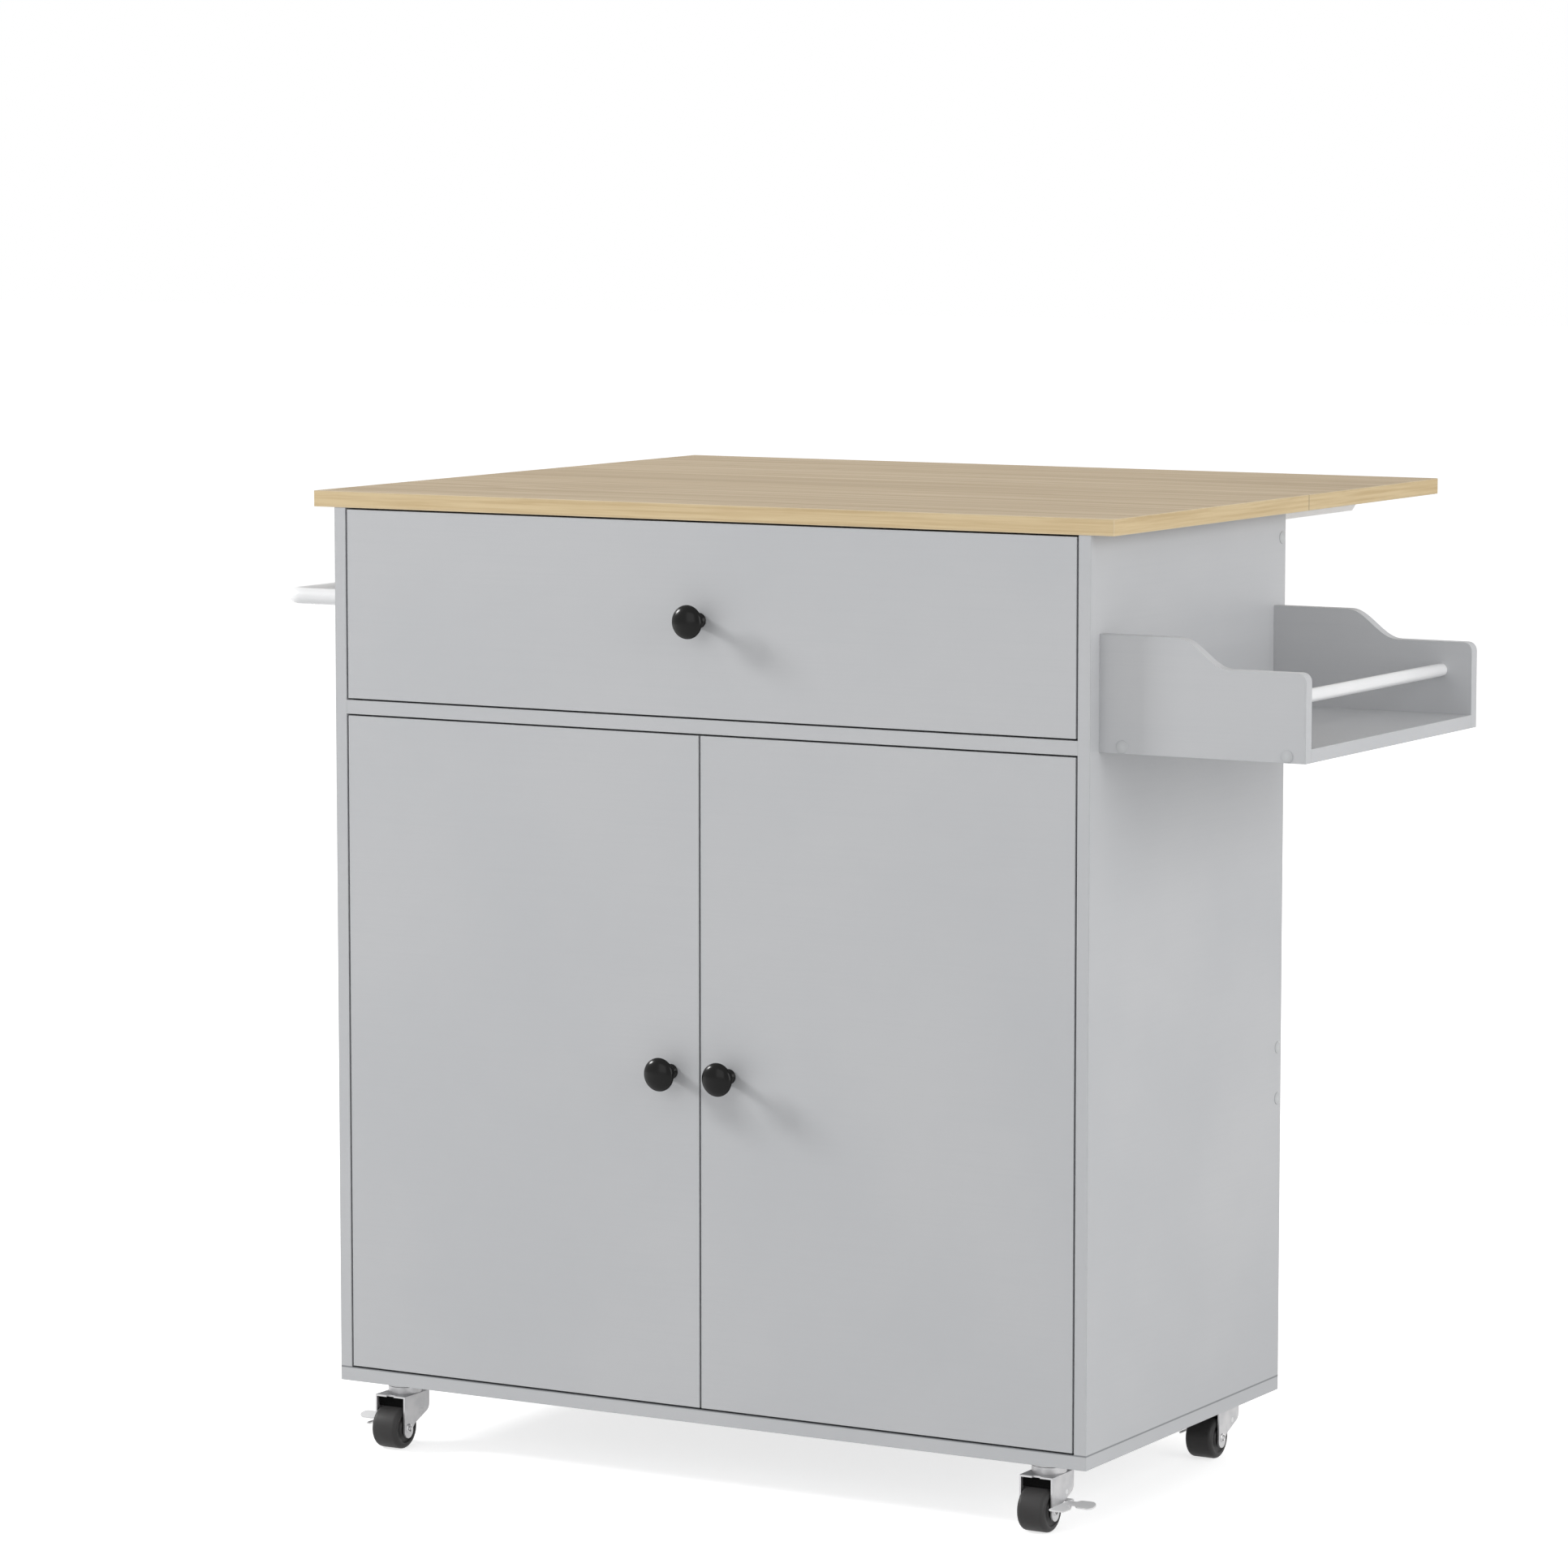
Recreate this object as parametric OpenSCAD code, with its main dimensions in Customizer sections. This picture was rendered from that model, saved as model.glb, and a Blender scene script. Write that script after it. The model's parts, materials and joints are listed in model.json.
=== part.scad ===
// Drop leaf kitchen island on casters, with a drawer, a two-door cupboard,
// a side rack and a towel rail. Millimetres, +Z up, front towards -Y.
// The origin is on the floor, under the middle of the whole object's box.

/* [Cabinet] */
// Width over the side panels
body_w = 790; // [720:10:900]
// Depth from the front edges to the rear edges
body_d = 400; // [380:10:480]
// Height from the underside of the bottom board to the underside of the worktop
body_h = 828; // [790:2:900]
// Thickness of the side panels
side_t = 12; // [12:1:16]
// Thickness of the bottom board
base_t = 13; // [12:1:18]
// Thickness of the fixed shelf under the drawer
deck_t = 13; // [12:1:18]
// Height of the drawer's opening, from the fixed shelf up to the worktop
drawer_open_h = 180; // [165:1:215]
// Thickness of the loose shelf in the cupboard
shelf_t = 12; // [12:1:18]
// Height of the loose shelf's underside above the bottom board's underside
shelf_z = 322; // [200:2:450]

/* [Worktop and leaf] */
// How far the worktop and the leaf stand out past each side panel
top_side = 22.5; // [15:0.5:60]
// Thickness of the worktop and of the leaf
top_t = 15; // [15:1:25]
// How far the worktop stands out past the front edges
top_front = 0.5; // [0:0.5:10]
// How far the worktop stands out past the rear edges
top_rear = 2; // [1:0.5:2.5]
// Gap between the worktop and the raised leaf
leaf_gap = 0.8; // [0.5:0.1:1.5]
// Depth of the leaf
leaf_d = 297; // [290:1:360]

/* [Back] */
// Thickness of the two rails across the back
rail_t = 15; // [12:1:18]
// Height of the upper rail, which carries the leaf's brackets
top_rail_h = 175; // [150:5:180]
// Height of the middle rail
mid_rail_h = 87; // [60:1:110]
// Height of the middle rail's lower edge above the bottom board's underside
mid_rail_z = 262; // [200:2:320]
// Thickness of the thin back panels
back_t = 3; // [3:0.5:5]
// Depth of the grooves that hold the back panels
groove_d = 5; // [4:0.5:6]

/* [Doors] */
// Thickness of the doors and of the drawer front
front_t = 15; // [15:1:19]
// Gap above and below the doors and the drawer front
gap_z = 1.7; // [1:0.1:2.5]
// Gap beside the doors and the drawer front
gap_x = 2; // [1.5:0.1:2.5]
// Distance of a door's hinges from its top and bottom edges
hinge_end = 80; // [60:5:110]
// Diameter of a hinge cup
cup_d = 35; // [35:1:40]
// Depth of a hinge cup
cup_depth = 11.5; // [10:0.5:12]
// Distance of a hinge cup's middle from the door's outer edge
cup_in = 22; // [21:0.5:24]

/* [Knobs] */
// Diameter of a knob's head
knob_d = 31; // [24:1:36]
// How far a knob stands out
knob_len = 28; // [22:1:34]
// Diameter of a knob's foot
knob_foot_d = 14; // [10:1:18]
// Distance of a door knob from the door's free edge
knob_in = 29.5; // [24:0.5:50]
// Diameter of a knob's screw
knob_screw_d = 4; // [3:0.5:5]

/* [Drawer] */
// Thickness of the drawer's sides and back
box_t = 12; // [10:1:15]
// Height of the drawer's sides and back
box_h = 118; // [90:2:130]
// Space behind the drawer's box, up to the upper back rail
box_rear = 20; // [15:1:70]
// Thickness of the drawer's bottom
box_base_t = 3; // [3:0.5:5]
// Space for a runner at each side of the drawer
runner_w = 12.7; // [12.7:0.1:14]
// Height of the runners
runner_h = 45; // [35:1:46]
// Thickness of the runners' sheet
runner_t = 1.2; // [1:0.1:1.5]

/* [Rack] */
// How far the rack stands out
rack_w = 198; // [150:2:240]
// Height of the rack's ends at the cabinet
rack_h = 104; // [90:2:130]
// Height of the rack's ends at the front
rack_low_h = 78; // [68:1:80]
// Length of the rack's ends at full height
rack_step = 74; // [40:2:80]
// Thickness of the rack's boards
rack_t = 12; // [12:1:16]
// Gap from the cabinet's front edges to the rack
rack_front = 17.5; // [10:0.5:30]
// Gap from the rack to the cabinet's rear edges
rack_rear = 12; // [10:0.5:30]
// Diameter of the rack's rod
rod_d = 12; // [10:1:16]
// Height of the rod above the rack's underside
rod_h = 52; // [40:1:60]
// Distance of the rod from the rack's front edge
rod_in = 30; // [15:1:40]

/* [Towel rail] */
// Diameter of the towel rail
bar_d = 15; // [12:1:18]
// Distance of the rail's middle from the side panel
bar_out = 76; // [60:1:90]
// Radius of the rail's bends
bar_bend = 13; // [11:1:25]
// Distance of the rail's legs from the cabinet's front and rear edges
bar_in = 40; // [30:1:80]
// Drop of the rail's middle under the worktop
bar_drop = 88; // [68:2:138]

/* [Leaf brackets] */
// Distance of a bracket's middle from the side panel's outer face
bracket_in = 60; // [50:1:120]
// Width of the upright channel
bracket_w = 22; // [22:1:28]
// Depth of the upright channel
bracket_d = 16; // [16:0.5:18]
// Height of the upright channel
bracket_h = 115; // [110:1:140]
// Thickness of the brackets' sheet
bracket_t = 1.5; // [1.5:0.1:1.8]
// Diameter of the bracket pins
pin_d = 5; // [4:0.5:6]
// Drop of the leaf pin under the leaf
pin_drop = 10; // [10:0.5:11]
// Drop of the strut pin under the leaf pin
strut_drop = 78; // [70:1:84]
// Length of the strut between its pins
strut_len = 110; // [105:1:125]
// Distance of the arm's end from the leaf's rear edge
arm_end = 25; // [15:1:60]

/* [Casters] */
// Height of a caster under the bottom board
caster_h = 62; // [60:1:70]
// Diameter of a wheel
wheel_d = 40; // [36:1:40]
// Width of a wheel
wheel_w = 27.5; // [24:0.5:27.5]
// Distance from the swivel axis to the wheel's axle
trail = 19.5; // [18:0.5:21]
// Width of the fork over its legs
fork_w = 33; // [33:0.5:36]
// Thickness of the fork's sheet
fork_t = 1.6; // [1.4:0.1:2]
// Diameter of the swivel race
race_d = 32; // [30:1:36]
// Diameter of the swivel pin
stem_d = 8; // [6:0.5:9]
// Diameter of a wheel's axle
axle_d = 6; // [5:0.5:7]
// Distance of the swivel axes from the cabinet's sides
caster_side = 52; // [48:1:90]
// Distance of the front swivel axes from the front edges
caster_front = 31; // [26:1:60]
// Distance of the rear swivel axes from the rear edges
caster_rear = 26; // [24:1:60]

/* [Fasteners] */
// Diameter of a panel screw
screw_d = 4.6; // [4:0.2:5]
// Diameter of a screw cap
cap_d = 11.5; // [10:0.5:13]
// Diameter of the dowels under the worktop
dowel_d = 6; // [5:0.5:6]
// Diameter of the shelf pins
shelf_pin_d = 5; // [5:0.5:6]

/* [Hidden] */
$fn = 48;

// Colours
panel_grey = "#bbbdbe";
oak = "#d9c7a4";
white_metal = "#e9eaea";
steel = "#b9babb";
black_gloss = "#17181a";
black_rubber = "#2c2c2d";

// Clearances
fit = 0.05;        // round a pin, on the radius
slack = 0.3;       // between a groove and its panel
run_gap = 0.5;     // between pieces that slide or turn past each other
eps = 1;           // how far a cut runs past a face

// The origin, seen from the cabinet's front left lower corner
top_w = body_w + 2 * top_side;
leaf_y0 = body_d + top_rear + leaf_gap;
leaf_y1 = leaf_y0 + leaf_d;
right_out = body_w + max(rack_w, top_side);
left_out = max(bar_out + bar_d / 2, top_side);
origin_x = (right_out - left_out) / 2;
origin_y = (leaf_y1 - knob_len) / 2;

// Places inside the cabinet
inner_w = body_w - 2 * side_t;
back_y = body_d - rail_t;
deck_top = body_h - drawer_open_h;
deck_z = deck_top - deck_t;
top_rail_z = body_h - top_rail_h;
shelf_gap = 1;
shelf_inset = 7;
shelf_front = front_t + shelf_inset;

// Doors and drawer front
front_x0 = side_t + gap_x;
front_w = body_w - 2 * front_x0;
door_w = (front_w - gap_x) / 2;
door_z0 = base_t + gap_z;
door_h = deck_z - gap_z - door_z0;
drawer_z0 = deck_top + gap_z;
drawer_h = body_h - gap_z - drawer_z0;
knob_z = drawer_z0 + drawer_h / 2;
door_knob_z = door_z0 + door_h / 2;

// Drawer box
box_gap = 13;
box_l = back_y - front_t - box_rear;
box_x0 = side_t + runner_w;
box_w = body_w - 2 * box_x0;
box_z0 = deck_top + box_gap;
box_groove_z = 10;
runner_z = box_z0 + box_h / 2;
runner_lip = 3;

// Hinges, in polar form about a door's outer front edge
cup_wall = 1.5;
cup_floor_y = front_t - cup_depth + cup_wall;
link_t = 2;
link_clear = 3;
link_r0 = front_t + link_clear;
link_r1 = link_r0 + link_t;
arm_r0 = link_r1 + slack;
arm_r1 = arm_r0 + link_t;
link_a0 = asin((cup_floor_y + slack) / link_r0);
link_a1 = 88;
arm_a0 = asin((cup_floor_y + slack) / arm_r0);
hinge_h = 10;
link_h = 8;
neck_in = 0.2;
cup_rim = 1;
cup_plate_t = 1.2;
cup_plate_h = 52;
cup_plate_edge = 3;
cup_plate_x0 = cup_plate_edge - cup_in;
cup_plate_x1 = 10;
cup_hole_d = 4;
hinge_plate_t = 1.2;
plate_lap = 1;
hinge_plate_l = 58;
hinge_plate_h = 16;
hinge_body_t = 6.8;
hinge_body_back = 6;
hinge_body_y = arm_r1 + hinge_body_back;
hinge_body_l = 42;
hinge_screw_in = 14;
hinge_screw_step = 18;
hinge_screw_d = 7;
hinge_screw_t = 1.5;

// Leaf brackets
pin_in = 6;
pin_y = body_d + bracket_d - pin_in;
pin_z = body_h - pin_drop;
strut_z = pin_z - strut_drop;
strut_a0 = asin(strut_drop / strut_len);
arm_w = bracket_w - 2 * bracket_t - 2 * run_gap;
strut_w = arm_w - 2 * bracket_t - 2 * run_gap;
arm_nose = 4.5;
arm_lip = 6.5;
arm_y0 = pin_y - arm_nose;
arm_y1 = leaf_y1 - arm_end;
arm_h = pin_drop + arm_lip;
roller_d = 9;
strut_h = 10;

// Casters
wheel_r = wheel_d / 2;
axle_z = wheel_r - caster_h;
race_t = 5;
cup_race_t = 6;
plate_z = -race_t - run_gap / 2 - cup_race_t;
leg_front = 7;
leg_rear = 35.5;
leg_in = fork_w / 2 - fork_t;
lobe_r = 7.2;
lobe_drop = 2.3;
cam_y = 22;
cam_rise = 13;
cam_gap = norm([cam_y, cam_rise]) - wheel_r;
cam_clear = 0.35;
cam_lift = 1;
cam_r = cam_gap - cam_clear;
cam_flat = cam_r - cam_lift;
cam_pin_d = 5;
lever_t = 1.5;

// Positions of what repeats
casters = [[caster_side, caster_front], [body_w - caster_side, caster_front],
    [caster_side, body_d - caster_rear], [body_w - caster_side, body_d - caster_rear]];
brake_side = [-1, 1, -1, -1];
bracket_xs = [bracket_in, body_w - bracket_in];
hinge_zs = [door_z0 + hinge_end, door_z0 + door_h - hinge_end];
dowel_end = 60;
dowel_ys = [dowel_end, body_d / 2, body_d - dowel_end];
top_screw_end = 25;
mid_screw_low = 16;
mid_screw_high = 23;
rail_screw_zs = [mid_rail_z + mid_screw_low, mid_rail_z + mid_rail_h - mid_screw_high,
    top_rail_z + top_screw_end, body_h - top_screw_end];
base_screw_front = 80;
base_screw_rear = 140;
base_screw_ys = [base_screw_front, body_d - base_screw_rear];
rack_y0 = rack_front;
rack_y1 = body_d - rack_rear;
rack_sink = 11;
rack_z = deck_top - rack_sink;
rack_screw_near = 22.5;
rack_screw_far = 18;
rack_screw_xs = [body_w + rack_screw_near, body_w + rack_w - rack_screw_far];
shelf_pin_front = 30;
shelf_pin_rear = 45;
shelf_pin_ys = [shelf_front + shelf_pin_front, back_y - shelf_pin_rear];
bar_ys = [bar_in, body_d - bar_in];
bar_z = body_h - bar_drop;
rack_screw_end = 28;
rack_wall_zs = [rack_z + rack_screw_end, rack_z + rack_h - rack_screw_end];

// ---------- helpers ----------

// Everything is drawn from the cabinet's front left lower corner, then moved to the origin
module placed() translate([-origin_x, -origin_y, caster_h]) children();

// A board from one corner to the opposite one
module board(p, size) translate(p) cube(size);

// A cylinder along X, and one along Y
module rod_x(p, d, l) translate(p) rotate([0, 90, 0]) cylinder(d = d, h = l);
module rod_y(p, d, l) translate(p) rotate([-90, 0, 0]) cylinder(d = d, h = l);
module rod_z(p, d, l) translate(p) cylinder(d = d, h = l);

// Mirrors its children from the left half of the cabinet to the right half
module on_right() translate([body_w, 0, 0]) mirror([1, 0, 0]) children();

// An outline in the YZ plane, thick along +X
module plate_yz(t) rotate([90, 0, 90]) linear_extrude(t) children();

// An outline in the XZ plane, thick along +Y
module plate_xz(t) translate([0, t, 0]) rotate([90, 0, 0]) linear_extrude(t) children();

// ---------- panel screws ----------

screw_bite = 28;
wall_bite = 26;
base_bite = 30;
side_screw_l = side_t + screw_bite;
rack_screw_l = rack_t + screw_bite;
wall_screw_l = side_t + wall_bite;
base_screw_l = base_t + base_bite;
screw_head_d = 7;
head_sink = 4;
rail_screw_y = body_d - rail_t / 2;

// A countersunk screw along +X from the origin, drawn thicker by grow for its hole
module screw_x(l, grow = 0) {
    rod_x([0, 0, 0], screw_head_d + 2 * grow, head_sink + grow);
    rod_x([0, 0, 0], screw_d + 2 * grow, l + grow);
}

// All screws that go through the left side panel, from outside and from inside
module left_side_screws(grow = 0) {
    for (z = rail_screw_zs)
        translate([0, rail_screw_y, z]) screw_x(side_screw_l, grow);
    for (y = base_screw_ys)
        translate([0, y, deck_z + deck_t / 2]) screw_x(side_screw_l, grow);
    for (y = bar_ys)
        translate([side_t, y, bar_z]) mirror([1, 0, 0]) screw_x(wall_screw_l, grow);
}

module right_side_screws(grow = 0) {
    on_right() {
        for (z = rail_screw_zs)
            translate([0, rail_screw_y, z]) screw_x(side_screw_l, grow);
        for (y = base_screw_ys)
            translate([0, y, deck_z + deck_t / 2]) screw_x(side_screw_l, grow);
    }
    for (y = [rack_y0 + rack_t / 2, rack_y1 - rack_t / 2])
        for (z = rack_wall_zs)
            translate([body_w - side_t, y, z]) screw_x(wall_screw_l, grow);
}

// Screws up through the bottom board into the side panels
module base_screws(grow = 0) {
    for (x = [side_t / 2, body_w - side_t / 2])
        for (y = base_screw_ys)
            translate([x, y, 0]) rotate([0, -90, 0]) screw_x(base_screw_l, grow);
}

// Screws through the rack's ends into its bottom
module rack_screws(grow = 0) {
    for (x = rack_screw_xs) {
        translate([x, rack_y0, rack_z + rack_t / 2]) rotate([0, 0, 90]) screw_x(rack_screw_l, grow);
        translate([x, rack_y1, rack_z + rack_t / 2]) rotate([0, 0, -90]) screw_x(rack_screw_l, grow);
    }
}

module panel_screws() color(steel) placed() {
    left_side_screws();
    right_side_screws();
    base_screws();
    rack_screws();
}

// Thin stick-on discs over the screw heads that the rack leaves in sight
cap_t = 0.6;
module screw_caps() color(panel_grey) placed() {
    for (z = rail_screw_zs) {
        rod_x([-cap_t, rail_screw_y, z], cap_d, cap_t);
        if (abs(z - rack_z - rack_h / 2) > (rack_h + cap_d) / 2)
            rod_x([body_w, rail_screw_y, z], cap_d, cap_t);
    }
    for (y = base_screw_ys)
        rod_x([-cap_t, y, deck_z + deck_t / 2], cap_d, cap_t);
    for (x = rack_screw_xs) {
        rod_y([x, rack_y0 - cap_t, rack_z + rack_t / 2], cap_d, cap_t);
        rod_y([x, rack_y1, rack_z + rack_t / 2], cap_d, cap_t);
    }
}

// ---------- carcase ----------

// Dowels that stand half in a side panel and half in the worktop
dowel_l = 24;
dowel_up = 9;
module dowels(grow = 0) {
    for (x = [side_t / 2, body_w - side_t / 2])
        for (y = dowel_ys)
            rod_z([x, y, body_h + dowel_up - dowel_l - grow], dowel_d + 2 * grow, dowel_l + 2 * grow);
}
module worktop_dowels() color(oak) placed() dowels();

module worktop() color(oak) placed() difference() {
    board([-top_side, -top_front, body_h], [top_w, top_front + body_d + top_rear, top_t]);
    dowels(fit);
}

// One pin in each shelf hole, with a flat seat under the shelf
shank_in = 8;
seat_l = 8;
seat_h = 2;
seat_rim = 1;
module shelf_pin_shanks(grow = 0) {
    for (y = shelf_pin_ys) {
        rod_x([side_t - shank_in - grow, y, shelf_z - seat_h - shelf_pin_d / 2],
            shelf_pin_d + 2 * grow, shank_in + seat_l + grow);
        rod_x([body_w - side_t - seat_l, y, shelf_z - seat_h - shelf_pin_d / 2],
            shelf_pin_d + 2 * grow, shank_in + seat_l + grow);
    }
}
module shelf_pins() color(steel) placed() {
    shelf_pin_shanks();
    for (y = shelf_pin_ys)
        for (x = [side_t, body_w - side_t - seat_l])
            board([x, y - shelf_pin_d, shelf_z - seat_h - seat_rim],
                [seat_l, 2 * shelf_pin_d, seat_h + seat_rim]);
}

// A side panel at the left, without the holes that only one side has
module side_board() difference() {
    board([0, 0, base_t], [side_t, body_d, body_h - base_t]);
    board([side_t - groove_d, back_y - slack / 2, base_t - eps],
        [groove_d + eps, back_t + slack, body_h - base_t + 2 * eps]);
    dowels(fit);
    base_screws(fit);
    shelf_pin_shanks(fit);
}
module left_side_panel() color(panel_grey) placed() difference() {
    side_board();
    left_side_screws(fit);
}
module right_side_panel() color(panel_grey) placed() difference() {
    on_right() side_board();
    right_side_screws(fit);
}

module bottom_board() color(panel_grey) placed() difference() {
    board([0, 0, 0], [body_w, body_d, base_t]);
    base_screws(fit);
    for (c = casters)
        rod_z([c[0], c[1], -eps], stem_d + 2 * fit, base_t + 2 * eps);
}

module fixed_shelf() color(panel_grey) placed() difference() {
    board([side_t, 0, deck_z], [inner_w, back_y, deck_t]);
    left_side_screws(fit);
    right_side_screws(fit);
}

module loose_shelf() color(panel_grey) placed()
    board([side_t + shelf_gap, shelf_front, shelf_z],
        [inner_w - 2 * shelf_gap, back_y - shelf_gap - shelf_front, shelf_t]);

// A rail across the back, with a rebate for a thin panel along the edges that meet one
module back_rail(z, h, rebate_above) difference() {
    board([side_t, back_y, z], [inner_w, rail_t, h]);
    board([side_t - eps, back_y - eps, z - eps],
        [inner_w + 2 * eps, back_t + slack + eps, groove_d + eps]);
    if (rebate_above)
        board([side_t - eps, back_y - eps, z + h - groove_d],
            [inner_w + 2 * eps, back_t + slack + eps, groove_d + eps]);
    left_side_screws(fit);
    right_side_screws(fit);
}
module upper_back_rail() color(oak) placed() difference() {
    back_rail(top_rail_z, top_rail_h, false);
    bracket_screw_set(fit);
}
module middle_back_rail() color(panel_grey) placed() back_rail(mid_rail_z, mid_rail_h, true);

// A thin panel between the grooves of the side panels
module back_panel(z0, z1)
    board([side_t - groove_d + slack, back_y, z0], [inner_w + 2 * (groove_d - slack), back_t, z1 - z0]);
module upper_back_panel() color(panel_grey) placed()
    back_panel(mid_rail_z + mid_rail_h - groove_d + slack, top_rail_z + groove_d - slack);
module lower_back_panel() color(panel_grey) placed()
    back_panel(base_t, mid_rail_z + groove_d - slack);

// ---------- rack and towel rail ----------

// The step on a rack end falls from 0 to 1 along half a cosine wave
step_w = 50;
corner_fillet = 8;
function fall(t) = (1 - cos(180 * t)) / 2;
function rack_outline() = concat(
    [[0, 0], [0, rack_h], [rack_step, rack_h]],
    [for (i = [1:15]) [rack_step + step_w * i / 16,
        rack_h - (rack_h - rack_low_h) * fall(i / 16)]],
    [[rack_step + step_w, rack_low_h]],
    [for (a = [90:-15:0]) [rack_w - corner_fillet + corner_fillet * cos(a),
        rack_low_h - corner_fillet + corner_fillet * sin(a)]],
    [[rack_w, 0]]);

rod_sink = 6;
rod_x0 = body_w + rack_w - rod_in;
module rod_shape(grow = 0)
    rod_y([rod_x0, rack_y0 + rack_t - rod_sink - grow, rack_z + rod_h], rod_d + 2 * grow,
        rack_y1 - rack_y0 - 2 * (rack_t - rod_sink) + 2 * grow);
module rack_end(y) difference() {
    translate([body_w, y, rack_z]) plate_xz(rack_t) polygon(rack_outline());
    rod_shape(fit);
    rack_screws(fit);
    right_side_screws(fit);
}
module rack_front_end() color(panel_grey) placed() rack_end(rack_y0);
module rack_rear_end() color(panel_grey) placed() rack_end(rack_y1 - rack_t);
module rack_bottom() color(panel_grey) placed() difference() {
    board([body_w, rack_y0 + rack_t, rack_z], [rack_w, rack_y1 - rack_y0 - 2 * rack_t, rack_t]);
    rack_screws(fit);
}
module rack_rod() color(white_metal) placed() rod_shape();

// A bar bent twice, its legs square to the side panel
module towel_rail() color(white_metal) placed() difference() {
    union() {
        for (y = bar_ys)
            rod_x([bar_bend - bar_out, y, bar_z], bar_d, bar_out - bar_bend);
        rod_y([-bar_out, bar_in + bar_bend, bar_z], bar_d, body_d - 2 * (bar_in + bar_bend));
        translate([bar_bend - bar_out, bar_in + bar_bend, bar_z]) rotate([0, 0, 180])
            rotate_extrude(angle = 90) translate([bar_bend, 0]) circle(d = bar_d);
        translate([bar_bend - bar_out, body_d - bar_in - bar_bend, bar_z]) rotate([0, 0, 90])
            rotate_extrude(angle = 90) translate([bar_bend, 0]) circle(d = bar_d);
    }
    left_side_screws(fit);
}

// ---------- drawer ----------

// Cabinet member: a channel with lips, open towards the drawer
runner_clear = 1.3;
runner_in = runner_w - runner_t - runner_clear;
slide_short = 3;
module channel_outline() {
    h = runner_h / 2;
    polygon([[0, -h], [runner_in, -h], [runner_in, runner_lip - h],
        [runner_in - runner_t, runner_lip - h], [runner_in - runner_t, runner_t - h],
        [runner_t, runner_t - h], [runner_t, h - runner_t], [runner_in - runner_t, h - runner_t],
        [runner_in - runner_t, h - runner_lip], [runner_in, h - runner_lip], [runner_in, h], [0, h]]);
}
// Drawer member: a hat-shaped sheet, its crown on the drawer's side, its brims behind the lips
module slide_outline() {
    brim = runner_h / 2 - runner_t - run_gap;
    crown = runner_h / 2 - runner_lip - run_gap;
    x1 = runner_in - runner_t - run_gap;
    x0 = x1 - runner_t;
    x2 = runner_w - runner_t;
    polygon([[x0, -brim], [x1, -brim], [x1, -crown], [runner_w, -crown], [runner_w, crown],
        [x1, crown], [x1, brim], [x0, brim], [x0, crown - runner_t], [x2, crown - runner_t],
        [x2, runner_t - crown], [x0, runner_t - crown]]);
}
runner_set = 3;
runner_y0 = front_t + runner_set;
module along_drawer(l) translate([side_t, runner_y0 + l, runner_z]) rotate([90, 0, 0])
    linear_extrude(l) children();
module drawer_runners() color(steel) placed() {
    along_drawer(box_l) channel_outline();
    on_right() along_drawer(box_l) channel_outline();
}
module drawer_slides() color(steel) placed() {
    along_drawer(box_l - slide_short) slide_outline();
    on_right() along_drawer(box_l - slide_short) slide_outline();
}

// The drawer's bottom, grown by its slack to cut the grooves
box_groove_d = 5;
box_back_y = front_t + box_l - box_t;
module bottom_sheet(grow = 0)
    board([box_x0 + box_t - box_groove_d + slack - grow, front_t - box_groove_d + slack - grow,
        box_z0 + box_groove_z - grow / 2],
        [box_w - 2 * (box_t - box_groove_d + slack) + 2 * grow,
        box_back_y - front_t + 2 * (box_groove_d - slack) + 2 * grow, box_base_t + grow]);
module drawer_bottom() color(panel_grey) placed() bottom_sheet();
module drawer_left_side() color(panel_grey) placed() difference() {
    board([box_x0, front_t, box_z0], [box_t, box_l, box_h]);
    bottom_sheet(slack);
}
module drawer_right_side() color(panel_grey) placed() difference() {
    on_right() board([box_x0, front_t, box_z0], [box_t, box_l, box_h]);
    bottom_sheet(slack);
}
module drawer_back() color(panel_grey) placed() difference() {
    board([box_x0 + box_t, box_back_y, box_z0], [box_w - 2 * box_t, box_t, box_h]);
    bottom_sheet(slack);
}
module drawer_front() color(panel_grey) placed() difference() {
    board([front_x0, 0, drawer_z0], [front_w, front_t, drawer_h]);
    bottom_sheet(slack);
    rod_y([body_w / 2, -eps, knob_z], knob_screw_d + 2 * fit, front_t + 2 * eps);
}

// Half a knob's outline: a foot, a waist, and a thin head with a low dome past its widest ring
knob_screw_in = 10;
knob_screw_head_t = 2;
knob_waist = 2;
knob_foot_t = 1.5;
knob_foot_h = 4;
knob_dome = 6.2;
knob_under = 4;
knob_flare = 2.4;
knob_ring = knob_len - knob_dome;
function knob_outline() = concat(
    [[0, 0], [knob_foot_d / 2, 0], [knob_foot_d / 2, knob_foot_t],
    [knob_foot_d / 2 - knob_waist, knob_foot_h],
    [knob_foot_d / 2 - knob_waist, knob_ring - knob_under - knob_flare]],
    [for (a = [-90:15:-15]) [knob_d / 2 * (0.6 + 0.4 * cos(a)), knob_ring + knob_under * sin(a)]],
    [for (a = [0:15:90]) [knob_d / 2 * cos(a), knob_ring + knob_dome * sin(a)]]);

// A mushroom knob and the screw that holds it from behind, standing out along -Y
module knob(x, z) translate([x, 0, z]) {
    difference() {
        rotate([90, 0, 0]) rotate_extrude() polygon(knob_outline());
        rod_y([0, -knob_screw_in - fit, 0], knob_screw_d + 2 * fit, knob_screw_in + 2 * eps);
    }
    rod_y([0, -knob_screw_in, 0], knob_screw_d, knob_screw_in + front_t);
    rod_y([0, front_t, 0], 2 * knob_screw_d, knob_screw_head_t);
}
module drawer_knob() color(black_gloss) placed() knob(body_w / 2, knob_z);

// ---------- doors and hinges ----------

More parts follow.
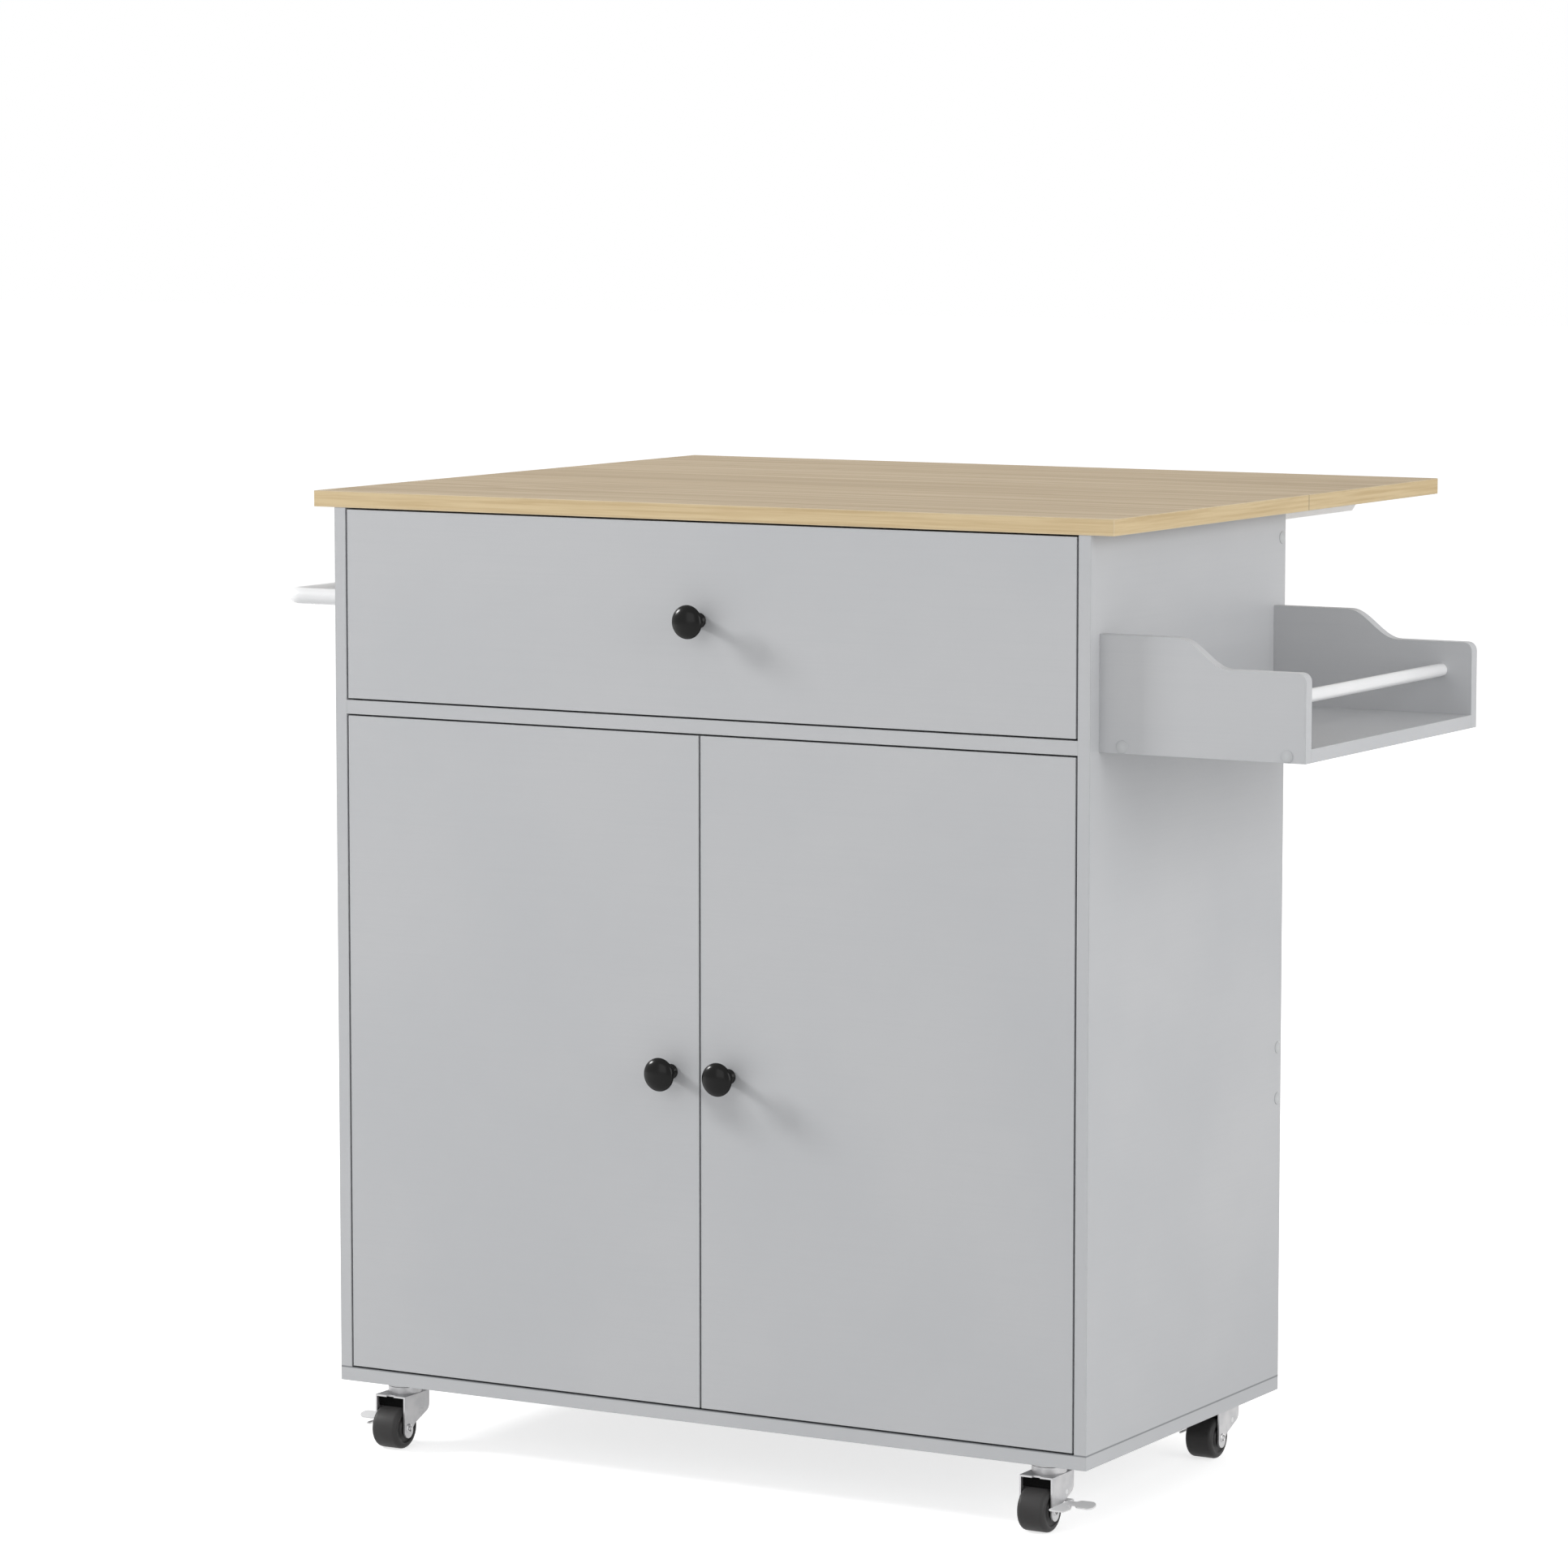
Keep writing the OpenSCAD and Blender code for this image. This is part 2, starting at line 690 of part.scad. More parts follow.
// A left door with its hinge cup bores and its knob hole
door_knob_x = front_x0 + door_w - knob_in;
module door_board() difference() {
    board([front_x0, 0, door_z0], [door_w, front_t, door_h]);
    for (z = hinge_zs)
        rod_y([front_x0 + cup_in, front_t - cup_depth - 2 * fit, z], cup_d + 2 * fit, cup_depth + eps);
    rod_y([door_knob_x, -eps, door_knob_z], knob_screw_d + 2 * fit, front_t + 2 * eps);
}
module left_door() color(panel_grey) placed() door_board();
module right_door() color(panel_grey) placed() on_right() door_board();
module left_door_knob() color(black_gloss) placed() knob(door_knob_x, door_knob_z);
module right_door_knob() color(black_gloss) placed() knob(body_w - door_knob_x, door_knob_z);

// A hinge cup with its screw plate on the back of the door
module cup(z) translate([front_x0 + cup_in, front_t, z]) difference() {
    union() {
        rod_y([0, -cup_depth, 0], cup_d, cup_depth);
        board([cup_plate_x0, 0, -cup_plate_h / 2], [cup_plate_x1 - cup_plate_x0, cup_plate_t, cup_plate_h]);
        rod_y([0, 0, 0], cup_d + 2 * cup_rim, cup_plate_t);
    }
    rod_y([0, cup_wall - cup_depth, 0], cup_d - 2 * cup_wall, cup_depth + cup_plate_t + eps);
    for (s = [-1, 1])
        rod_y([0, -eps, s * (cup_plate_h / 2 - cup_hole_d)], cup_hole_d, cup_plate_t + 2 * eps);
}
module left_hinge_cups() color(steel) placed() for (z = hinge_zs) cup(z);
module right_hinge_cups() color(steel) placed() on_right() for (z = hinge_zs) cup(z);

// A flat ring segment about the door's outer front edge
module hinge_arc(r0, r1, a0, a1, z, h) translate([front_x0, 0, z - h / 2]) rotate([0, 0, a0])
    rotate_extrude(angle = a1 - a0) translate([r0, 0]) square([r1 - r0, h]);

// The fixed arm: a curved nose, a raised body and the plate on the side panel
module hinge_arm(z) {
    hinge_arc(arm_r0, arm_r1, arm_a0, 90, z, hinge_h);
    board([side_t, arm_r0 + neck_in, z - hinge_h / 2 + neck_in],
        [gap_x + plate_lap, link_t - 2 * neck_in, hinge_h - 2 * neck_in]);
    board([side_t, arm_r1 - plate_lap, z - hinge_plate_h / 2],
        [hinge_plate_t, hinge_plate_l, hinge_plate_h]);
    board([side_t + hinge_plate_t, hinge_body_y, z - hinge_h / 2], [hinge_body_t, hinge_body_l, hinge_h]);
    for (i = [0, 1])
        rod_x([side_t + hinge_plate_t + hinge_body_t, hinge_body_y + hinge_screw_in + i * hinge_screw_step, z],
            hinge_screw_d, hinge_screw_t);
}
module hinge_arms() color(steel) placed() for (z = hinge_zs) {
    hinge_arm(z);
    on_right() hinge_arm(z);
}
module hinge_links() for (z = hinge_zs)
    hinge_arc(link_r0, link_r1, link_a0, link_a1, z, link_h);
module left_hinge_links() color(steel) placed() hinge_links();
module right_hinge_links() color(steel) placed() on_right() hinge_links();

// ---------- leaf and brackets ----------

module drop_leaf() color(oak) placed()
    board([-top_side, leaf_y0, body_h], [top_w, leaf_d, top_t]);

// The side of the upright channel: straight, with a round head about the leaf pin
channel_gap = 1;
channel_foot = body_h - channel_gap - bracket_h;
foot_h = 4;
foot_step = 5;
head_in = 2;
module cheek_outline() difference() {
    union() {
        translate([body_d, channel_foot + foot_h]) square([bracket_d, pin_z - channel_foot - foot_h]);
        translate([body_d, channel_foot]) square([bracket_d - foot_step, foot_h + eps]);
        translate([body_d, pin_z]) square([pin_y - body_d, pin_drop - head_in]);
        translate([pin_y, pin_z]) circle(r = bracket_d / 2 - head_in);
    }
    translate([pin_y, pin_z]) circle(d = pin_d);
    translate([pin_y, strut_z]) circle(d = pin_d);
}
module bracket_channels() color(white_metal) placed() difference() {
    for (x = bracket_xs) {
        for (s = [0, bracket_w - bracket_t])
            translate([x - bracket_w / 2 + s, 0, 0]) plate_yz(bracket_t) cheek_outline();
        board([x - bracket_w / 2, body_d, channel_foot], [bracket_w, bracket_t, pin_z - channel_foot]);
    }
    bracket_screw_set(fit);
}

// Countersunk screws through the channels into the upper rail
bracket_screw_d = 3.5;
bracket_screw_end = 2;
bracket_head_t = 1.5;
channel_screw_low = 12;
channel_screw_mid = 24;
channel_screw_high = 16;
channel_screw_zs = [channel_foot + channel_screw_low, strut_z + channel_screw_mid,
    pin_z - channel_screw_high];
module bracket_screw_set(grow = 0) {
    for (x = bracket_xs)
        for (z = channel_screw_zs) {
            rod_y([x, back_y + bracket_screw_end - grow, z], bracket_screw_d + 2 * grow,
                rail_t - bracket_screw_end + bracket_t + 2 * grow);
            rod_y([x, body_d + bracket_t, z], screw_head_d, bracket_head_t);
        }
}
module bracket_screws() color(steel) placed() bracket_screw_set();

// The leaf pin and the strut pin of each bracket, with flat heads outside the channel
pin_head_t = 1;
pin_head_rim = 1.5;
module bracket_pin(x, z) {
    rod_x([x - bracket_w / 2, pin_y, z], pin_d, bracket_w);
    for (side = [x - bracket_w / 2 - pin_head_t, x + bracket_w / 2])
        rod_x([side, pin_y, z], pin_d + 2 * pin_head_rim, pin_head_t);
}
module bracket_pins() color(steel) placed() for (x = bracket_xs) {
    bracket_pin(x, pin_z);
    bracket_pin(x, strut_z);
}

// The arm under the leaf: a channel open downwards, its cheeks cut back at the far end
// and notched to clear the strut pin when the leaf hangs
notch_w = pin_d + 2 * run_gap;
arm_cut_l = 12;
arm_cut_h = 8;
module arm_cheek() difference() {
    polygon([[arm_y0, body_h], [arm_y0, body_h - arm_h], [arm_y1 - arm_cut_l, body_h - arm_h],
        [arm_y1, body_h - arm_h + arm_cut_h], [arm_y1, body_h]]);
    translate([pin_y, pin_z]) circle(d = pin_d + 2 * fit);
    translate([pin_y + strut_drop, pin_z]) circle(d = notch_w);
    translate([pin_y + strut_drop - notch_w / 2, body_h - arm_h - eps])
        square([notch_w, arm_h - pin_drop + eps]);
}
module leaf_arms() color(white_metal) placed() for (x = bracket_xs) {
    for (s = [0, arm_w - bracket_t])
        translate([x - arm_w / 2 + s, 0, 0]) plate_yz(bracket_t) arm_cheek();
    board([x - arm_w / 2, arm_y0, body_h - bracket_t], [arm_w, arm_y1 - arm_y0, bracket_t]);
}

// The strut: a channel on the strut pin, with a roller that rides inside the arm
web_end = 2;
module strut_cheek() difference() {
    union() {
        translate([0, -strut_h / 2]) square([strut_len, strut_h]);
        circle(d = strut_h);
        translate([strut_len, 0]) circle(d = strut_h);
    }
    circle(d = pin_d + 2 * fit);
    translate([strut_len, 0]) circle(d = pin_d);
}
module leaf_struts() color(white_metal) placed() for (x = bracket_xs)
    translate([x, pin_y, strut_z]) rotate([strut_a0, 0, 0]) {
        for (s = [-strut_w / 2, strut_w / 2 - bracket_t])
            translate([s, 0, 0]) plate_yz(bracket_t) strut_cheek();
        board([-strut_w / 2, strut_h, strut_h / 2 - bracket_t],
            [strut_w, strut_len - 2 * strut_h - web_end, bracket_t]);
        rod_x([-strut_w / 2, strut_len, 0], pin_d, strut_w);
        rod_x([-strut_w / 2 + bracket_t, strut_len, 0], roller_d, strut_w - 2 * bracket_t);
    }

// ---------- casters ----------

// Fixed part: a threaded stem through the bottom board, the upper race, and the swivel pin
nut_d = 13;
nut_h = 6;
thread_end = 3;
stem_top = base_t + nut_h + thread_end;
race_edge = 1.5;
head_h = 2;
head_rim = 3;
head_foot = 2;
module stem_outline() polygon([[0, stem_top], [stem_d / 2, stem_top],
    [stem_d / 2, 0], [race_d / 2 - race_edge, 0], [race_d / 2, -race_edge], [race_d / 2, -race_t],
    [stem_d / 2, -race_t], [stem_d / 2, plate_z - fork_t - fit],
    [stem_d / 2 + head_rim, plate_z - fork_t - fit], [stem_d / 2 + head_foot, plate_z - fork_t - head_h],
    [0, plate_z - fork_t - head_h]]);
module caster_stems() color(steel) placed() for (c = casters) translate([c[0], c[1], 0]) {
    rotate_extrude() stem_outline();
    translate([0, 0, base_t]) difference() {
        cylinder(d = nut_d, h = nut_h, $fn = 6);
        rod_z([0, 0, -eps], stem_d, nut_h + 2 * eps);
    }
}

// Places its children on a caster, with the axle's middle at the origin
module at_axle(c) translate([c[0], c[1] - trail, axle_z]) children();

// The side of the fork: straight in front, a round end at the axle, swept back above it
leg_top = plate_z - axle_z;
sweep_z = 3;
sweep_rise = 7.5;
rear_r = 8;
throat = 3.5;
throat_in = 0.6;
throat_up = 1.5;
module leg_outline() difference() {
    union() {
        translate([0, -lobe_drop]) circle(r = lobe_r);
        polygon(concat([[-leg_front, -lobe_drop], [-leg_front, leg_top], [leg_rear, leg_top]],
            [for (a = [0:-15:-75]) [leg_rear - rear_r + rear_r * cos(a),
                sweep_z + sweep_rise + rear_r + rear_r * sin(a)]],
            [[leg_front + throat, sweep_z], [lobe_r - throat_in, throat_up - lobe_drop]]));
    }
    circle(d = axle_d + 2 * fit);
    translate([cam_y, cam_rise]) circle(d = cam_pin_d + 2 * fit);
}
notch_half = 4;
notch_deep = 3;
module fork(c) at_axle(c) {
    for (x = [-fork_w / 2, leg_in])
        translate([x, 0, 0]) plate_yz(fork_t) leg_outline();
    difference() {
        union() {
            board([-leg_in, -leg_front, leg_top - fork_t], [2 * leg_in, leg_front + leg_rear, fork_t]);
            translate([0, trail, leg_top - fork_t / 2]) cylinder(d = race_d, h = cup_race_t + fork_t / 2);
        }
        rod_z([0, trail, leg_top - fork_t - eps], stem_d + 2 * fit, cup_race_t + fork_t + 2 * eps);
        board([-notch_half, -leg_front - eps, leg_top - fork_t - eps],
            [2 * notch_half, notch_deep + eps, fork_t + 2 * eps]);
    }
}

// Axle: a rivet with flat heads
axle_head_t = 1.2;
axle_head_rim = 1.5;
module axle(c) at_axle(c) {
    rod_x([-fork_w / 2, 0, 0], axle_d, fork_w);
    for (x = [-fork_w / 2 - axle_head_t, fork_w / 2])
        rod_x([x, 0, 0], axle_d + 2 * axle_head_rim, axle_head_t);
}

// Wheel: a broad round-shouldered tread, with a ring groove in each side
tread_r = 4.5;
hub_r = 8;
tread_gap = 1.2;
groove_deep = 1.5;
groove_slope = 1.2;
groove_step = 0.7;
groove_out = wheel_r - tread_r - tread_gap;
function wheel_side() = concat([[axle_d / 2 + fit, wheel_w / 2],
    [hub_r, wheel_w / 2], [hub_r + groove_slope, wheel_w / 2 - groove_deep],
    [groove_out - groove_step, wheel_w / 2 - groove_deep], [groove_out, wheel_w / 2]],
    [for (a = [90:-15:0]) [wheel_r - tread_r + tread_r * cos(a),
        wheel_w / 2 - tread_r + tread_r * sin(a)]]);
module wheel(c) at_axle(c) rotate([0, 90, 0]) rotate_extrude() polygon(concat(wheel_side(),
    [for (i = [len(wheel_side()) - 1:-1:0]) [wheel_side()[i][0], -wheel_side()[i][1]]]));

// Brake: a cam bar across the fork, and a stamped lever under the leg with a wing and a lobe
wing_tilt = 31;
lobe_tilt = 20;
lobe_w = 11.5;
lobe_l = 20;
lobe_neck = 9.6;
lobe_y = -6.5;
lever_in = fork_w / 2 + axle_head_t + run_gap + lever_t * sin(wing_tilt);
lever_z = -7.2;
neck_w = 7;
neck_l = 4;
lever_lap = 1;
wing_w = 9;
wing_rear = 6;
wing_front = 39.5;
wing_nose = 26;
wing_wide = 12;
wing_neck = 3;
wing_foot = 5;
wing_heel = 2;
wing_corner = 1.5;
wing_edge = 0.5;
lobe_sink = 0.6;
module lobe_outline() {
    translate([0, -lobe_w / 4]) square([lobe_neck + lobe_w / 2, lobe_w / 2]);
    translate([lobe_neck + lobe_w / 2, 0]) circle(d = lobe_w);
    translate([lobe_neck + lobe_w / 2, -lobe_w / 2]) square([lobe_l - lobe_w, lobe_w]);
    translate([lobe_neck + lobe_l - lobe_w / 2, 0]) circle(d = lobe_w);
}
module cam_bar() difference() {
    union() {
        rod_x([-fork_w / 2, 0, 0], cam_pin_d, fork_w);
        rod_x([run_gap - leg_in, 0, 0], 2 * cam_r, 2 * (leg_in - run_gap));
    }
    rotate([atan(cam_rise / cam_y), 0, 0])
        board([-leg_in, -2 * cam_r - cam_flat, -2 * cam_r], [2 * leg_in, 2 * cam_r, 4 * cam_r]);
}
module brake(c, side) at_axle(c) mirror([side < 0 ? 1 : 0, 0, 0]) translate([0, cam_y, cam_rise]) {
    cam_bar();
    neck_x = leg_in - run_gap - neck_l;
    board([neck_x, -lever_lap, lever_z - lever_t], [neck_l, lever_t, -lever_z]);
    board([neck_x, -lever_lap, lever_z - lever_t], [lever_in + lever_lap - neck_x, neck_w, lever_t]);
    translate([lever_in, 0, lever_z]) rotate([0, wing_tilt, 0]) translate([0, 0, -lever_t])
        linear_extrude(lever_t) polygon([[0, wing_edge - wing_front], [wing_corner, -wing_front],
            [wing_w - wing_edge, -wing_nose], [wing_w, -wing_wide], [wing_foot, -wing_neck],
            [wing_heel, wing_rear], [0, wing_rear]]);
    translate([lever_in - lobe_sink, lobe_y, lever_z - lobe_sink]) rotate([lobe_tilt, 0, 0])
        translate([0, 0, -lever_t]) linear_extrude(lever_t) lobe_outline();
}

module front_left_fork() color(steel) placed() fork(casters[0]);
module front_left_axle() color(steel) placed() axle(casters[0]);
module front_left_wheel() color(black_rubber) placed() wheel(casters[0]);
module front_left_brake() color(steel) placed() brake(casters[0], brake_side[0]);
module front_right_fork() color(steel) placed() fork(casters[1]);
module front_right_axle() color(steel) placed() axle(casters[1]);
module front_right_wheel() color(black_rubber) placed() wheel(casters[1]);
module front_right_brake() color(steel) placed() brake(casters[1], brake_side[1]);
module rear_left_fork() color(steel) placed() fork(casters[2]);
module rear_left_axle() color(steel) placed() axle(casters[2]);
module rear_left_wheel() color(black_rubber) placed() wheel(casters[2]);
module rear_left_brake() color(steel) placed() brake(casters[2], brake_side[2]);
module rear_right_fork() color(steel) placed() fork(casters[3]);
module rear_right_axle() color(steel) placed() axle(casters[3]);
module rear_right_wheel() color(black_rubber) placed() wheel(casters[3]);
module rear_right_brake() color(steel) placed() brake(casters[3], brake_side[3]);

// ---------- one line per node ----------
worktop();
left_side_panel();
right_side_panel();
bottom_board();
fixed_shelf();
loose_shelf();
shelf_pins();
upper_back_rail();
middle_back_rail();
upper_back_panel();
lower_back_panel();
worktop_dowels();
panel_screws();
screw_caps();
rack_front_end();
rack_rear_end();
rack_bottom();
rack_rod();
towel_rail();
drawer_runners();
hinge_arms();
bracket_channels();
bracket_pins();
bracket_screws();
caster_stems();
drawer_front();
drawer_left_side();
drawer_right_side();
drawer_back();
drawer_bottom();
drawer_slides();
drawer_knob();
left_door();
left_door_knob();
left_hinge_cups();
left_hinge_links();
right_door();
right_door_knob();
right_hinge_cups();
right_hinge_links();
drop_leaf();
leaf_arms();
leaf_struts();
front_left_fork();
front_left_axle();
front_left_wheel();
front_left_brake();
front_right_fork();
front_right_axle();
front_right_wheel();
front_right_brake();
rear_left_fork();
rear_left_axle();
rear_left_wheel();
rear_left_brake();
rear_right_fork();
rear_right_axle();
rear_right_wheel();
rear_right_brake();
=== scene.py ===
"""Looks of a drop leaf kitchen island: finishes, eased edges, fittings and studio.

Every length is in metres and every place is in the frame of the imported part: the
origin is on the floor under the middle of the object, +X is to the right, towards
the rack, and the doors face -Y.
"""

from __future__ import annotations

import json
import logging
import math
from dataclasses import dataclass, field
from enum import Enum
from typing import Callable

import bmesh
import bpy
import numpy as np
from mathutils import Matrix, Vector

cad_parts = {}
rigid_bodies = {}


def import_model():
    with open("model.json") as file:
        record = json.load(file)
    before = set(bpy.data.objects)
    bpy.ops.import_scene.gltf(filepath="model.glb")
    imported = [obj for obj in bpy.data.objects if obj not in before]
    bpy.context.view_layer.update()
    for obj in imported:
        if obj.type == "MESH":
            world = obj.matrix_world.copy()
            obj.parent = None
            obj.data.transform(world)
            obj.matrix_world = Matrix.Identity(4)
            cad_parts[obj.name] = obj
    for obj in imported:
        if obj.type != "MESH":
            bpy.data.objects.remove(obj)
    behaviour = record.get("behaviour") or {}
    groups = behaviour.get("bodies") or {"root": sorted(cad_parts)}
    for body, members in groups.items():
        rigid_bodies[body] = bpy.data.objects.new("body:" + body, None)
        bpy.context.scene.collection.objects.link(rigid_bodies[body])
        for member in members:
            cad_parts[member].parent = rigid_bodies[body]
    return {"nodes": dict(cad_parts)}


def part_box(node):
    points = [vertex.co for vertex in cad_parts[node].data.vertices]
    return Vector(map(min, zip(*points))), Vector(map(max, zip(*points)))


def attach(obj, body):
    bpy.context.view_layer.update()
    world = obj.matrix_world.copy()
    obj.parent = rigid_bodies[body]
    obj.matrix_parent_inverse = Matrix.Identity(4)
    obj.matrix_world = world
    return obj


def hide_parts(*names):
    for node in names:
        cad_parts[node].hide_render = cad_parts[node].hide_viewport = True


LOG = logging.getLogger("kitchen_island")
MM = 0.001
# Point mark of a cap's rim, which a finish darkens as a painted shade line.
RIM_SHADE = "rim"
SHARP = math.radians(38)
EASED_EDGE = math.radians(35)
FRAME_NODES: dict[str, bpy.types.Object] = {}
Point = tuple[float, float, float]
Colour = tuple[float, float, float, float]
Outline = tuple[tuple[float, float], ...]
Material = bpy.types.Material
Mesh = bpy.types.Mesh
Node = bpy.types.Node
Piece = bpy.types.Object
Socket = bpy.types.NodeSocket


class Axis(Enum):
    """The direction a turned piece stands along."""

    X = 0
    Y = 1
    Z = 2


class Lie(Enum):
    """How an oak board lies. Its grain runs along X in either case."""

    FLAT = "flat"
    UPRIGHT = "upright"


def srgb(red: int, green: int, blue: int) -> Colour:
    """Turns a display colour into the linear colour that a shader takes.

    Args:
        red: Red, 0 to 255.
        green: Green, 0 to 255.
        blue: Blue, 0 to 255.

    Returns:
        The linear colour with an alpha of 1.
    """
    c = np.array([red, green, blue]) / 255.0
    linear = np.where(c <= 0.04045, c / 12.92, ((c + 0.055) / 1.055) ** 2.4)
    return (float(linear[0]), float(linear[1]), float(linear[2]), 1.0)


# ---------- shader trees ----------


class Shader:
    """A node tree with short calls for adding and joining nodes."""

    def __init__(self, tree: bpy.types.NodeTree) -> None:
        """Keeps the tree that the nodes go into."""
        self.tree = tree

    def add(self, kind: str, inputs: dict | None = None, **settings: object) -> Node:
        """Adds a node and gives it its inputs.

        Args:
            kind: The node's type name.
            inputs: Socket name or index to a value or to another node's output.
            **settings: Attributes to set on the node before its inputs.

        Returns:
            The new node.
        """
        node = self.tree.nodes.new(kind)
        for name, value in settings.items():
            setattr(node, name, value)
        for key, value in (inputs or {}).items():
            if isinstance(value, Socket):
                self.tree.links.new(value, node.inputs[key])
            else:
                node.inputs[key].default_value = value
        return node

    def math(self, operation: str, a: object, b: object = 0.0, clamp: bool = False) -> Socket:
        """Adds a Math node and returns its output."""
        inputs = {0: a, 1: b}
        return self.add("ShaderNodeMath", inputs, operation=operation, use_clamp=clamp).outputs[0]

    def vector(self, operation: str, a: object, b: object) -> Socket:
        """Adds a Vector Math node and returns its output."""
        return self.add("ShaderNodeVectorMath", {0: a, 1: b}, operation=operation).outputs[0]

    def parts(self, vector: object) -> tuple[Socket, Socket, Socket]:
        """Splits a vector and returns its three parts."""
        node = self.add("ShaderNodeSeparateXYZ", {0: vector})
        return node.outputs[0], node.outputs[1], node.outputs[2]

    def stretched(self, vector: object, scale: Point) -> Socket:
        """Scales a vector along each axis and returns it."""
        return self.add("ShaderNodeMapping", {"Vector": vector, "Scale": scale}).outputs[0]

    def span(
        self, value: object, low: float, high: float, to_low: float = 0.0, to_high: float = 1.0
    ) -> Socket:
        """Maps a value smoothly from one range to another.

        Args:
            value: The value or the output that gives it.
            low: Where the value's range starts.
            high: Where it ends.
            to_low: What the start becomes.
            to_high: What the end becomes.

        Returns:
            The mapped value's output.
        """
        inputs = {"Value": value, "From Min": low, "From Max": high}
        inputs.update({"To Min": to_low, "To Max": to_high})
        return self.add("ShaderNodeMapRange", inputs, interpolation_type="SMOOTHSTEP").outputs[0]

    def mix(self, factor: object, a: object, b: object) -> Socket:
        """Mixes two colours and returns the output."""
        return self.add("ShaderNodeMix", {"Factor": factor, 6: a, 7: b}, data_type="RGBA").outputs[2]

    def tint(self, body: object, mask: object, amount: float, colour: object) -> Socket:
        """Lays a colour over the body where the mask is, by an amount."""
        return self.mix(self.math("MULTIPLY", mask, amount), body, colour)

    def joint(self, across: Socket, level: float, core: float, reach: float, depth: float) -> Socket:
        """The mask of a thin joint: depth within the core of a level, and 0 past its reach."""
        off = self.math("ABSOLUTE", self.math("SUBTRACT", across, level))
        return self.span(off, core, reach, depth, 0.0)

    def noise(self, vector: object, scale: object, detail: float = 2.0, rough: float = 0.5) -> Socket:
        """Adds a noise texture and returns its value."""
        inputs = {"Vector": vector, "Scale": scale, "Detail": detail, "Roughness": rough}
        return self.add("ShaderNodeTexNoise", inputs).outputs["Fac"]

    def bump(self, strength: float, distance: float, height: Socket) -> Socket:
        """Adds a Bump node and returns its normal."""
        inputs = {"Strength": strength, "Distance": distance, "Height": height}
        return self.add("ShaderNodeBump", inputs).outputs[0]

    def seen_rays(self) -> Socket:
        """Tells the rays that show a background from those that only light the object.

        Returns:
            1 for rays from the camera and for those that gloss or glass send on, else 0.
        """
        ray = self.add("ShaderNodeLightPath")
        seen = self.math("MAXIMUM", ray.outputs["Is Camera Ray"], ray.outputs["Is Glossy Ray"])
        return self.math("MAXIMUM", seen, ray.outputs["Is Transmission Ray"])


class EffectGroup:
    """A shader node group that several finishes share, built once."""

    name: str = "effect"
    takes: tuple[tuple[str, str], ...] = ()
    gives: tuple[str, ...] = ()

    def body(self, shader: Shader, source: Node) -> dict[str, Socket]:
        """Builds the group's inside, and returns its outputs by name."""
        raise NotImplementedError

    def group(self) -> bpy.types.NodeTree:
        """Builds the group on the first call.

        Returns:
            The group's tree, the same one on every call.
        """
        found = bpy.data.node_groups.get(self.name)
        if found:
            return found
        tree = bpy.data.node_groups.new(self.name, "ShaderNodeTree")
        for name, kind in self.takes:
            tree.interface.new_socket(name, in_out="INPUT", socket_type=kind)
        for name in self.gives:
            tree.interface.new_socket(name, in_out="OUTPUT", socket_type="NodeSocketFloat")
        shader = Shader(tree)
        made = self.body(shader, shader.add("NodeGroupInput"))
        end = shader.add("NodeGroupOutput")
        for name, socket in made.items():
            tree.links.new(socket, end.inputs[name])
        return tree

    def place(self, shader: Shader, inputs: dict) -> Node:
        """Places the group in a material with its own values."""
        return shader.add("ShaderNodeGroup", inputs, node_tree=self.group())


class CloudyTone(EffectGroup):
    """Broad soft clouds and a fine speckle, both about 0.5 in the middle."""

    name = "cloudy_tone"
    takes = (
        ("Vector", "NodeSocketVector"),
        ("Broad", "NodeSocketFloat"),
        ("Fine", "NodeSocketFloat"),
    )
    gives = ("Clouds", "Speckle")

    def body(self, shader: Shader, source: Node) -> dict[str, Socket]:
        """Two noises of different size on the same vector.

        Args:
            shader: The group's own tree.
            source: The group's input node.

        Returns:
            The group's outputs by name.
        """
        vector = source.outputs["Vector"]
        clouds = shader.noise(vector, source.outputs["Broad"], 3.0)
        return {"Clouds": clouds, "Speckle": shader.noise(vector, source.outputs["Fine"])}


